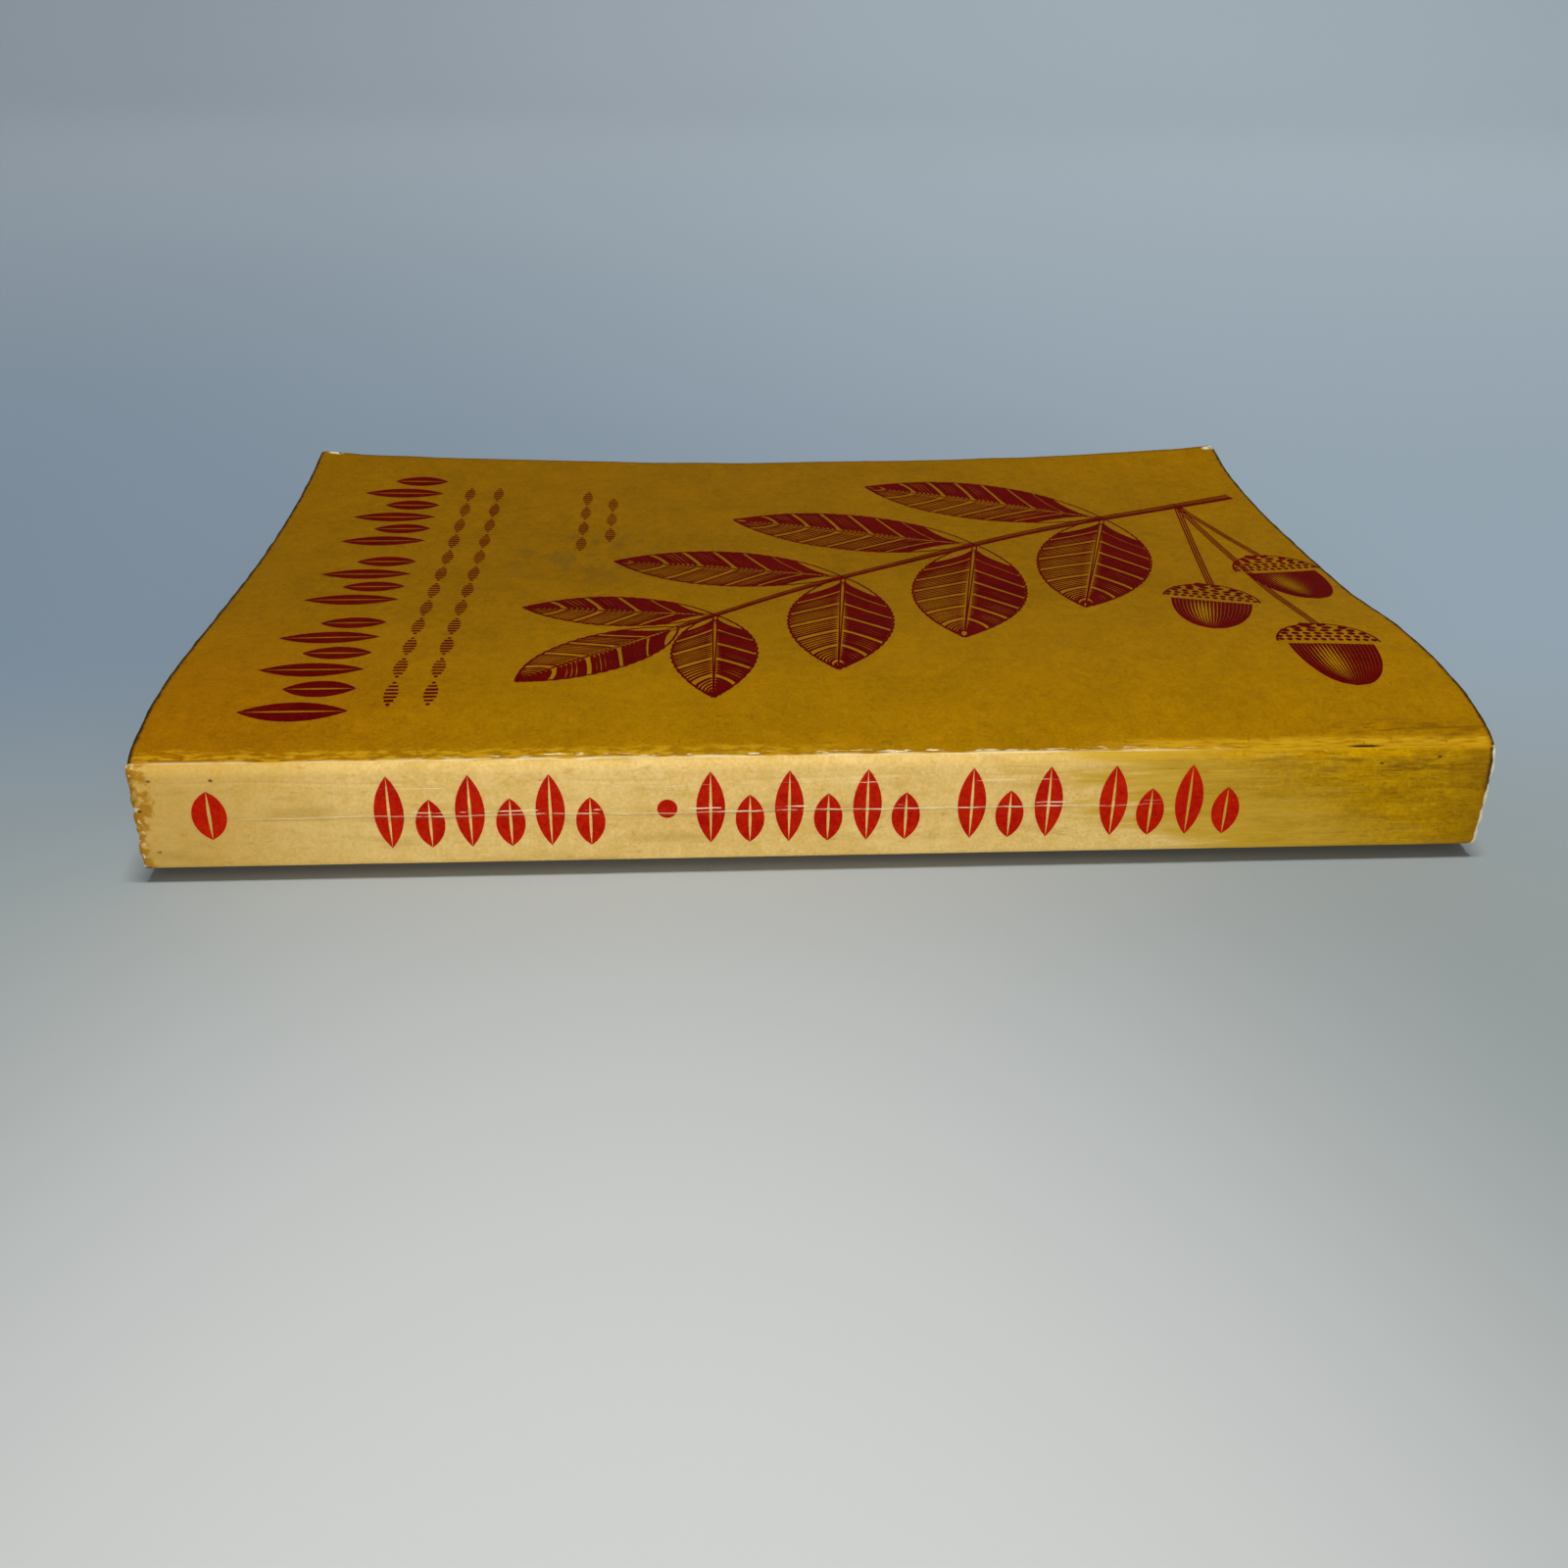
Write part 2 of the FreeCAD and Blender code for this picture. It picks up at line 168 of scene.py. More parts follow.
def ahead(heading):
    angle = math.radians(heading)
    return np.array((math.cos(angle), math.sin(angle)))


def inward(heading):
    return ahead(heading + 90.0)


def spine_section(steps):
    """Outline of the spine from fold to fold: arc lengths, points in Y and Z, and outward normals."""
    ramp_angle = 2.0 * math.degrees(math.atan(BOTTOM_FOLD_LIFT / RAMP_RUN))
    ramp_heading = FLAT_HEADING - ramp_angle
    top_drop = TOP_FOLD_RADIUS * (inward(SHOULDER_HEADING) - inward(FACE_TOP_HEADING))[1]
    bottom_drop = BOTTOM_FOLD_RADIUS * (inward(FACE_BOTTOM_HEADING) - inward(ramp_heading))[1]
    face_drop = TOP_FOLD_HEIGHT - BOTTOM_FOLD_LIFT + top_drop + bottom_drop
    face_radius = face_drop / (ahead(FACE_BOTTOM_HEADING)[0] - ahead(FACE_TOP_HEADING)[0])
    headings = (SHOULDER_HEADING, FACE_TOP_HEADING, FACE_BOTTOM_HEADING, ramp_heading)
    radii = (TOP_FOLD_RADIUS, face_radius, BOTTOM_FOLD_RADIUS)
    point = np.array((FOLD, TOP_FOLD_HEIGHT))
    lengths, points, normals = [0.0], [point], [-inward(SHOULDER_HEADING)]
    for heading_in, heading_out, radius in zip(headings, headings[1:], radii):
        centre = point + radius * inward(heading_in)
        for share in np.arange(1, steps + 1) / steps:
            heading = heading_in + share * (heading_out - heading_in)
            normals.append(-inward(heading))
            points.append(centre - radius * inward(heading))
            lengths.append(lengths[-1] + radius * math.radians(heading_out - heading_in) / steps)
        point = points[-1]
    return np.array(lengths), np.array(points), np.array(normals)


SECTION_LENGTHS, SECTION_POINTS, SECTION_NORMALS = spine_section(60)
SPINE_RUN = SECTION_LENGTHS[-1]


def spine_point(x, run, lift):
    """Points at a run down the spine from its top fold, lifted off the card."""
    across = [np.interp(run, SECTION_LENGTHS, column) for column in SECTION_POINTS.T]
    normal = [np.interp(run, SECTION_LENGTHS, column) for column in SECTION_NORMALS.T]
    return np.stack((x, across[0] + lift * normal[0], across[1] + lift * normal[1]), axis=-1)


def run_at_height(z):
    """Run down the spine at which its face has a height."""
    return np.interp(-z, -SECTION_POINTS[:, 1], SECTION_LENGTHS)


def cover_rise(share, rises):
    """Smooth rise through the named points, leaving the fold at the spine's own slope."""
    gaps = np.diff(RISE_SHARES)
    secants = np.diff(rises) / gaps
    first = math.tan(math.radians(SHOULDER_HEADING - 180.0)) * WIDTH
    inner = (gaps[1:] * secants[:-1] + gaps[:-1] * secants[1:]) / (gaps[:-1] + gaps[1:])
    slopes = np.concatenate(((first,), inner, (secants[-1],)))
    span = np.clip(np.searchsorted(RISE_SHARES, share) - 1, 0, len(gaps) - 1)
    t = (share - RISE_SHARES[span]) / gaps[span]
    ends = rises[span] * (2.0 * t**3 - 3.0 * t**2 + 1.0) + rises[span + 1] * (3.0 * t**2 - 2.0 * t**3)
    leaving = slopes[span] * gaps[span] * (t**3 - 2.0 * t**2 + t)
    arriving = slopes[span + 1] * gaps[span] * (t**3 - t**2)
    return ends + leaving + arriving


def cover_height(x, y):
    """Height of the closed front cover's outer face, with the soft swells of worn card."""
    share = (y - FOLD) / WIDTH
    head, middle, tail = (cover_rise(share, rises) for rises in (HEAD_RISES, MIDDLE_RISES, TAIL_RISES))
    along = x / (LENGTH / 2.0)
    rise = middle + along * (tail - head) / 2.0 + along**2 * ((head + tail) / 2.0 - middle)
    away_from_fold = smooth(share, 0.03, 0.25)
    swell = 0.10 * MM * waves(x, y, 70.0 * MM, 3) * away_from_fold
    corner = smooth(np.abs(along), 0.9, 1.0) * smooth(share, 0.9, 1.0)
    return TOP_FOLD_HEIGHT + rise + swell - 0.1 * MM * away_from_fold + 0.35 * MM * corner


def cover_point(x, y, lift):
    return np.stack((x, y, cover_height(x, y) + lift), axis=-1)


# Mesh building


def new_object(name, data):
    """Object of the scene that holds a mesh, a lamp or a camera."""
    item = bpy.data.objects.new(name, data)
    bpy.context.scene.collection.objects.link(item)
    return item


def mesh_piece(name, points, faces, body, slot, *replaced):
    """New mesh object that rides on a body and stands for the named nodes."""
    mesh = bpy.data.meshes.new(name)
    mesh.from_pydata([tuple(point) for point in points], [], faces)
    mesh.validate()
    mesh.shade_smooth()
    piece = new_object(name, mesh)
    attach(piece, body)
    if replaced:
        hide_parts(*replaced)
    return piece


def grid_faces(rows, columns, start=0):
    """Four-sided faces of a grid of points laid row after row."""
    corner = np.arange(rows - 1)[:, None] * columns + np.arange(columns - 1)[None, :] + start
    faces = np.stack((corner, corner + 1, corner + columns + 1, corner + columns), axis=-1)
    return faces.reshape(-1, 4)


def rim_faces(rows, columns, outer, inner):
    """Faces that join the borders of two like grids, whose points start at outer and inner."""
    index = np.arange(rows * columns).reshape(rows, columns)
    loop = np.concatenate((index[0, :-1], index[:-1, -1], index[-1, :0:-1], index[:0:-1, 0]))
    following = np.roll(loop, -1)
    return np.stack((loop + outer, loop + inner, following + inner, following + outer), axis=-1)


def sheet_piece(name, outer, inner, body, slot, *replaced):
    """Closed sheet between two grids of points; all but its outer face is marked as second material."""
    rows, columns = outer.shape[:2]
    count = rows * columns
    faces = [grid_faces(rows, columns), grid_faces(rows, columns, count)[:, ::-1]]
    faces.append(rim_faces(rows, columns, 0, count))
    points = np.concatenate((outer.reshape(-1, 3), inner.reshape(-1, 3)))
    piece = mesh_piece(name, points, np.concatenate(faces).tolist(), body, slot, *replaced)
    marks = np.ones(len(piece.data.polygons), dtype=np.int32)
    marks[: len(faces[0])] = 0
    piece.data.polygons.foreach_set("material_index", marks)
    return piece


def crowded(count, low, high, crowd):
    """Values from low to high that lie closer together near low."""
    return low + (high - low) * (np.arange(count) / (count - 1)) ** crowd


def worn_plan(x, y, low_y, high_y, seed):
    """Moves a card's edge points inward: rounded fore-edge corners and an uneven worn outline."""
    middle = (HEAD + TAIL) / 2.0
    side = np.sign(x - middle)
    dx = np.abs(x - middle) - (LENGTH / 2.0 - CORNER_RADIUS)
    dy = y - (high_y - CORNER_RADIUS)
    reach = np.hypot(np.maximum(dx, 0.0), np.maximum(dy, 0.0))
    past_corner = (dx > 0.0) & (dy > 0.0) & (reach > CORNER_RADIUS)
    pull = np.where(past_corner, CORNER_RADIUS / np.maximum(reach, 1e-9), 1.0)
    x = np.where(pull < 1.0, middle + side * (LENGTH / 2.0 - CORNER_RADIUS + dx * pull), x)
    y = np.where(pull < 1.0, high_y - CORNER_RADIUS + dy * pull, y)
    near_end = smooth(np.abs(x - middle), LENGTH / 2.0 - 2.0 * MM, LENGTH / 2.0)
    near_fore = smooth(y, high_y - 2.0 * MM, high_y)
    ragged_end = 0.10 + 0.08 * waves(y, 0.0, 9.0 * MM, seed, 4)
    ragged_fore = 0.10 + 0.08 * waves(x, 0.0, 9.0 * MM, seed + 1, 4)
    x = x - side * near_end * np.clip(ragged_end, 0.0, 0.3) * MM
    y = y - near_fore * np.clip(ragged_fore, 0.0, 0.3) * MM
    return x, np.maximum(y, low_y)


# Covers


def front_card():
    across = crowded(150, FOLD, FOLD + WIDTH, 1.25)
    along = np.linspace(HEAD, TAIL, 230)
    x, y = np.meshgrid(along, across)
    x, y = worn_plan(x, y, FOLD, FOLD + WIDTH, 11)
    outer = cover_point(x, y, 0.0)
    inner = outer - np.array((0.0, 0.0, CARD))
    return sheet_piece("front_card", outer, inner, "front_cover", "cover_card", "front_cover")


def back_height(y):
    """Height of the back cover's lower face: flat, and rising on an arc to the lower fold."""
    radius = RAMP_RUN / math.sin(2.0 * math.atan(BOTTOM_FOLD_LIFT / RAMP_RUN))
    over_ramp = np.clip(LOWER_FOLD + RAMP_RUN - y, 0.0, RAMP_RUN)
    return radius - np.sqrt(radius**2 - over_ramp**2)


def back_card():
    across = crowded(90, LOWER_FOLD, BACK_FORE_EDGE, 1.3)
    along = np.linspace(HEAD, TAIL, 120)
    x, y = np.meshgrid(along, across)
    x, y = worn_plan(x, y, LOWER_FOLD, BACK_FORE_EDGE, 23)
    lower = np.stack((x, y, back_height(y)), axis=-1)
    upper = lower + np.array((0.0, 0.0, CARD))
    return sheet_piece("back_card", lower[::-1], upper[::-1], "back_cover", "cover_card", "back_cover")


def spine_relief(x, run):
    """Height of the creases that reading has pressed into the spine card."""
    relief = 0.03 * MM * waves(x, run, 24.0 * MM, 31)
    for height, depth, half_width, seed in SPINE_CREASES:
        centre = run_at_height(height * MM) + 0.35 * MM * waves(x, 0.0, 60.0 * MM, seed)
        distance = np.abs(run - centre) / (half_width * MM)
        fade = smooth(waves(x, 0.0, 50.0 * MM, seed + 1), -0.6, 0.4)
        relief = relief - depth * MM * fade * np.exp(-distance**2)
    return relief


def spine_card():
    run = np.linspace(0.0, SPINE_RUN, 130)
    along = np.linspace(HEAD, TAIL, 240)
    x, down = np.meshgrid(along, run)
    near_end = smooth(np.abs(x), LENGTH / 2.0 - 1.5 * MM, LENGTH / 2.0)
    ragged = 0.18 + 0.16 * waves(down, np.sign(x), 5.0 * MM, 51, 4)
    x = x - np.sign(x) * near_end * np.clip(ragged, 0.0, 0.5) * MM
    off_top_fold = smooth(down, 0.0, 1.5 * MM)
    off_lower_fold = smooth(SPINE_RUN - down, 0.0, 1.5 * MM)
    relief = spine_relief(x, down) * off_top_fold * off_lower_fold
    outer = spine_point(x, down, np.minimum(relief, 0.0))[::-1]
    inner = spine_point(x, down, -CARD)[::-1]
    return sheet_piece("spine_card", outer, inner, "book_block", "spine_card", "spine_cover")


# Page block


def block_ring(share, inset):
    """Outline of the leaf at a share of the block's depth: head, fore-edge and tail."""
    side_steps = 34
    front_steps = 50
    fore = FOLD + WIDTH - PAGE_INSET - share * (FOLD + WIDTH - BACK_FORE_EDGE)
    highest = TOP_FOLD_HEIGHT - CARD - COVER_CLEARANCE
    lowest = BOTTOM_FOLD_LIFT + CARD + COVER_CLEARANCE
    z = highest + (lowest - highest) * share
    start = np.interp(-z, -SECTION_POINTS[:, 1], SECTION_POINTS[:, 0]) + CARD + 0.6 * GLUE
    head = HEAD + PAGE_INSET
    tail = TAIL - PAGE_INSET
    side = np.linspace(start, fore, side_steps)
    front = np.linspace(head, tail, front_steps)[1:-1]
    x = np.concatenate((np.full(side_steps, head), front, np.full(side_steps, tail)))
    y = np.concatenate((side, np.full(len(front), fore), side[::-1]))
    x = x + np.sign(-x) * np.where(np.abs(x) > TAIL - 1.0 * MM, inset, 0.0)
    y = np.where(y > fore - 0.01 * MM, y - inset, y)
    return x, y


def page_leaves():
    """Block of leaves: each leaf is a pair of rings, set in or out a little from its neighbours."""
    rings = []
    for leaf in range(PAGE_COUNT):
        inset = rng.uniform(0.0, 0.12) * MM
        if rng.random() < 0.06:
            inset += rng.uniform(0.1, 0.3) * MM
        for edge, setback in ((0.12, 0.05 * MM), (0.88, 0.0)):
            share = (leaf + edge) / PAGE_COUNT
            x, y = block_ring(share, inset + setback)
            top = cover_height(x, y) - CARD - COVER_CLEARANCE
            bottom = back_height(y) + CARD + COVER_CLEARANCE
            droop = 0.05 * MM * waves(x + y, leaf * MM, 40.0 * MM, 61, 2)
            z = top + (bottom - top) * share + droop * math.sin(math.pi * share)
            rings.append(np.stack((x, y, z), axis=-1))
    points = np.array(rings)
    faces = grid_faces(*points.shape[:2]).tolist()
    return mesh_piece("page_leaves", points.reshape(-1, 3), faces, "book_block", "pages", "page_block")


def end_leaf(name, is_first):
    """First or last leaf of the block, seen when its cover is opened."""
    across = crowded(60, FOLD + 1.2 * MM, FOLD + WIDTH - PAGE_INSET, 1.3)
    along = np.linspace(HEAD + PAGE_INSET, TAIL - PAGE_INSET, 90)
    x, y = np.meshgrid(along, across)
    if is_first:
        outer = cover_point(x, y, -CARD - COVER_CLEARANCE)
        inner = cover_point(x, y, -CARD - COVER_CLEARANCE - PAGE)
    else:
        y = y[::-1] - (FOLD + WIDTH - BACK_FORE_EDGE)
        outer = np.stack((x, y, back_height(y) + CARD + COVER_CLEARANCE), axis=-1)
        inner = outer + np.array((0.0, 0.0, PAGE))
    return sheet_piece(name, outer, inner, "book_block", "pages")


def glue_strip():
    run = np.linspace(0.6 * MM, SPINE_RUN - 0.6 * MM, 60)
    along = np.linspace(HEAD + PAGE_INSET, TAIL - PAGE_INSET, 120)
    x, down = np.meshgrid(along, run)
    lumps = 0.06 * MM * waves(x, down, 8.0 * MM, 71)
    outer = spine_point(x, down, -CARD)[::-1]
    inner = spine_point(x, down, -CARD - GLUE + lumps)[::-1]
    return sheet_piece("glue_strip", outer, inner, "book_block", "binding_glue", "spine_glue")


# Print: every printed shape is a small flat grid of points, laid on the card


def ribbon(x, y, widths):
    """Line of ink along a path, as wide as given at each point."""
    points = np.stack((x, y), axis=-1)
    widths = np.broadcast_to(widths, len(points))
    way = np.gradient(points, axis=0)
    across = np.stack((-way[:, 1], way[:, 0]), axis=-1)
    across = across / np.maximum(np.linalg.norm(across, axis=1, keepdims=True), 1e-9)
    half = across * widths[:, None] / 2.0
    return np.stack((points - half, points + half))


def leaf_half_width(x, length, width):
    """Half width of a pointed leaf with round flanks, at a distance from its stalk."""
    radius = (length**2 + width**2) / (4.0 * width)
    x = np.clip(x, 0.0, length)
    return np.sqrt(np.maximum(radius**2 - (x - length / 2.0) ** 2, 0.0)) - (radius - width / 2.0)


def plain_leaf(length, width, rib=0.0, stations=14):
    """Two filled halves of a pointed leaf along +X, with a bare rib between them."""
    x = np.linspace(0.0, length, stations)
    edge = leaf_half_width(x, length, width)
    bare = np.minimum(rib / 2.0 * np.sin(math.pi * np.clip(x / length, 0.0, 1.0)), edge)
    halves = []
    for side in (-1.0, 1.0):
        rows = [bare + (edge - bare) * share for share in (0.0, 0.5, 1.0)]
        halves.append(np.stack([np.stack((x, side * row), axis=-1) for row in rows]))
    return halves


def turned(patches, place, heading):
    """Printed shapes turned by a heading in degrees about their stalk end and set at a place."""
    angle = math.radians(heading)
    turn = np.array(((math.cos(angle), math.sin(angle)), (-math.sin(angle), math.cos(angle))))
    return [patch @ turn + np.asarray(place) for patch in patches]


def engraved_half(length, side, shade):
    """Half of a leaf: its toothed margin, and hatching with one line in seven left out for a vein."""
    width = LEAF_WIDTH_SHARE * length
    x = np.linspace(0.0, length, 90)
    teeth = 0.55 * MM * np.abs((x / (1.9 * MM)) % 1.0 - 0.3)
    edge = leaf_half_width(x, length, width) - teeth * np.sin(math.pi * x / length)
    patches = [ribbon(x, side * np.maximum(edge, 0.0), 0.42 * MM)]
    t = np.linspace(0.06, 0.97, 9)
    ends = np.clip(np.minimum(t / 0.1, (1.0 - t) / 0.03), 0.15, 1.0)
    lines = int(0.93 * length / HATCH_PITCH)
    for line in range(lines):
        from_vein = (line - FIRST_VEIN) % VEIN_SPACING
        if from_vein == 0:
            continue
        foot = 0.05 * length + line * HATCH_PITCH
        reach = 0.20 * length * (1.0 - 0.6 * line / lines)
        x = np.minimum(foot + reach * t, length)
        y = side * t * leaf_half_width(x, length, width)
        tone = shade + 0.30 * (1.0 - t) ** 2 + 0.22 * t**4 + rng.uniform(-0.06, 0.06)
        if from_vein in (1, VEIN_SPACING - 1):
            tone = tone + 0.16
        patches.append(ribbon(x, y, HATCH_PITCH * np.clip(tone, 0.1, 0.92) * ends))
    return patches


def engraved_leaf(length, dark_side):
    """Leaf drawn in engraver's lines: two halves, one of them in shade, and a midrib."""
    patches = []
    for side in (-1.0, 1.0):
        patches += engraved_half(length, side, 0.62 if side == dark_side else 0.34)
    x = np.linspace(0.0, 0.95 * length, 30)
    for side in (-1.0, 1.0):
        offset = side * 0.45 * MM * (1.0 - x / length)
        patches.append(ribbon(x, offset, 0.28 * MM))
    return patches


def cap_half_width(x):
    """Half width of an acorn's domed cap at a distance from its stalk."""
    radius = (CAP_LENGTH**2 + (CAP_WIDTH / 2.0) ** 2) / (2.0 * CAP_LENGTH)
    return np.sqrt(np.maximum(radius**2 - (radius - x) ** 2, 0.0))


def engraved_cap():
    """Cap of an acorn: rows of scales, two more in each row, inside a thin outline."""
    patches = []
    rows = 6
    for row in range(rows):
        low = CAP_LENGTH * row / rows
        high = CAP_LENGTH * (row + 0.8) / rows
        x = np.array((low, (low + high) / 2.0, high))
        half = cap_half_width(x)
        scales = 2 + 2 * row
        shift = 0.5 if row % 2 else 0.25
        for scale in range(scales):
            place = (2.0 * (scale + shift) / scales - 1.0) * half
            width = 0.82 * 2.0 * half / scales * np.array((0.5, 1.0, 0.35))
            patches.append(ribbon(x, place, width))
    turn = np.linspace(-1.0, 1.0, 41)
    outline_x = CAP_LENGTH * (1.0 - np.cos(turn * math.pi / 2.0))
    outline_y = cap_half_width(outline_x) * np.sign(turn)
    patches.append(ribbon(outline_x, outline_y, 0.4 * MM))
    return patches


def engraved_nut():
    """Nut of an acorn: long lines that thin out over a glint."""
    patches = []
    start = CAP_LENGTH + CAP_GAP
    x = np.linspace(start, start + NUT_LENGTH, 22)
    t = (x - start) / NUT_LENGTH
    half = NUT_WIDTH / 2.0 * np.sqrt(np.maximum(1.0 - t**2.4, 0.0)) * (1.0 - 0.06 * t)
    lines = 21
    for line in range(lines):
        place = 2.0 * line / (lines - 1) - 1.0
        glint = math.exp(-(((place + 0.25) / 0.3) ** 2))
        tone = 0.95 - 0.75 * glint * np.sin(math.pi * np.clip(t * 1.1, 0.0, 1.0))
        width = np.maximum(2.0 * half / lines * tone, 0.05 * MM)
        patches.append(ribbon(x, 0.97 * place * half, width))
    return patches


def branch_point(share):
    """Place on the bowed branch, and its heading there in degrees."""
    along = BRANCH_TIP - BRANCH_BASE
    across = np.array((along[1], -along[0])) / np.linalg.norm(along)
    point = BRANCH_BASE + share * along + 4.0 * BRANCH_BOW * share * (1.0 - share) * across
    way = along + 4.0 * BRANCH_BOW * (1.0 - 2.0 * share) * across
    return point + np.array((HEAD, FOLD)), math.degrees(math.atan2(way[1], way[0]))


def stem_print():
    """Stem of the branch: lines side by side that draw together towards its tip."""
    shares = np.linspace(0.0, 1.0, 60)
    centre = np.array([branch_point(share)[0] for share in shares])
    headings = np.radians([branch_point(share)[1] + 90.0 for share in shares])
    aside = np.stack((np.cos(headings), np.sin(headings)), axis=-1)
    taper = 1.0 - 0.45 * shares
    lines = []
    for offset, width in STEM_LINES:
        path = centre + offset * MM * taper[:, None] * aside
        lines.append(ribbon(*path.T, width * MM * taper))
    return lines


def foliage_print():
    """Leaves of the branch: pairs along its stem, and one at its tip."""
    patches = []
    for share, length in LEAF_PAIRS:
        place, heading = branch_point(share)
        for side in (-1.0, 1.0):
            leaf = engraved_leaf(length * MM, side)
            patches += turned(leaf, place, heading + side * LEAF_SPREAD_ANGLE)
    place, heading = branch_point(1.0)
    return patches + turned(engraved_leaf(TIP_LEAF_LENGTH, 1.0), place, heading)


def acorn_print():
    """Acorns, each at the end of a stalk of three lines from one place on the branch."""
    patches = []
    start = branch_point(STALK_SHARE)[0]
    for place, heading in ACORNS:
        end = np.array(place) * MM + np.array((HEAD, FOLD))
        patches += turned(engraved_cap() + engraved_nut(), end, heading)
        along = end - start
        stalk = start + np.linspace(0.0, 1.0, 24)[:, None] * along
        aside = np.array((-along[1], along[0])) / np.linalg.norm(along)
        for offset in (-0.5, 0.0, 0.5):
            path = stalk + offset * MM * aside
            patches.append(ribbon(*path.T, 0.32 * MM))
    return patches


def frieze(counts, pitch, height, width):
    """Row of upright leaves along +X, tall and short in turn, in groups with a wider gap between."""
    patches = []
    place = pitch / 2.0
    for count in counts:
        for index in range(count):
            share = 1.0 if index % 2 == 0 else SHORT_LEAF_SHARE
            leaf = plain_leaf(share * height, width, 0.10 * width)
            patches += turned(leaf, (place, 0.0), 90.0)
            place += pitch
        place += GROUP_GAP_SHARE * pitch
    return patches


def stroke_dash():
    """Slim pointed dash along +X, broken into short upright strokes."""
    strokes = []
    pitch = DASH_LENGTH / DASH_STROKES
    for index in range(DASH_STROKES):
        x = pitch * (index + 0.5)
        half = 1.25 * leaf_half_width(x, DASH_LENGTH, DASH_WIDTH)
        thickness = pitch * rng.uniform(0.48, 0.66)
        strokes.append(ribbon((x, x), (-half, half), thickness))
    return strokes


def cover_print():
    """All the print of the front cover: ornament band, rows of dashes and the branch."""
    band = frieze(BAND_COUNTS, BAND_PITCH, BAND_HEIGHT, BAND_LEAF_WIDTH)
    patches = turned(band, (HEAD + BAND_INSET + BAND_HEIGHT, FOLD + BAND_START), 90.0)
    for inset, start, count in DASH_ROWS:
        for index in range(count):
            place = (HEAD + inset * MM, FOLD + start * MM + index * DASH_PITCH)
            patches += turned(stroke_dash(), place, 90.0)
    return patches + stem_print() + foliage_print() + acorn_print()


def spine_print():
    """All the print of the spine, with X along the book and Y for the height on its face."""
    patches = []
    for start, counts in SPINE_FRIEZES:
        row = frieze(counts, SPINE_PITCH, SPINE_PRINT_HEIGHT, SPINE_LEAF_WIDTH)
        patches += turned(row, (HEAD + start * MM, SPINE_PRINT_BASE), 0.0)
    angle = np.linspace(0.0, 2.0 * math.pi, 33)
    ring = DOT_RADIUS * np.stack((np.cos(angle), np.sin(angle)), axis=-1)
    middle = SPINE_PRINT_BASE + SPINE_PRINT_HEIGHT / 2.0
    dot_centre = np.array((HEAD + DOT_PLACE, middle))
    patches.append(np.stack([dot_centre + share * ring for share in (0.0, 0.5, 1.0)]))
    mark = plain_leaf(MARK_HEIGHT, MARK_WIDTH, MARK_RIB)
    mark_foot = (HEAD + MARK_PLACE, middle - MARK_HEIGHT / 2.0)
    return patches + turned(mark, mark_foot, 90.0)


def print_piece(name, patches, place, body, slot, replaced):
    """One mesh of every printed shape, each laid on its surface by a placing function."""
    points, faces = [], []
    count = 0
    for patch in patches:
        rows, columns = patch.shape[:2]
        points.append(place(patch[..., 0], patch[..., 1]).reshape(-1, 3))
        faces += grid_faces(rows, columns, count).tolist()
        count += rows * columns
    return mesh_piece(name, np.concatenate(points), faces, body, slot, replaced)


def cover_ink():
    def place(x, y):
        return cover_point(x, y, INK_LIFT)

    return print_piece("cover_ink", cover_print(), place, "front_cover", "maroon_ink", "front_print")


def spine_ink():
    def place(x, z):
        return spine_point(x, run_at_height(z), INK_LIFT)

    return print_piece("spine_ink", spine_print(), place, "book_block", "red_ink", "spine_print")


# Materials


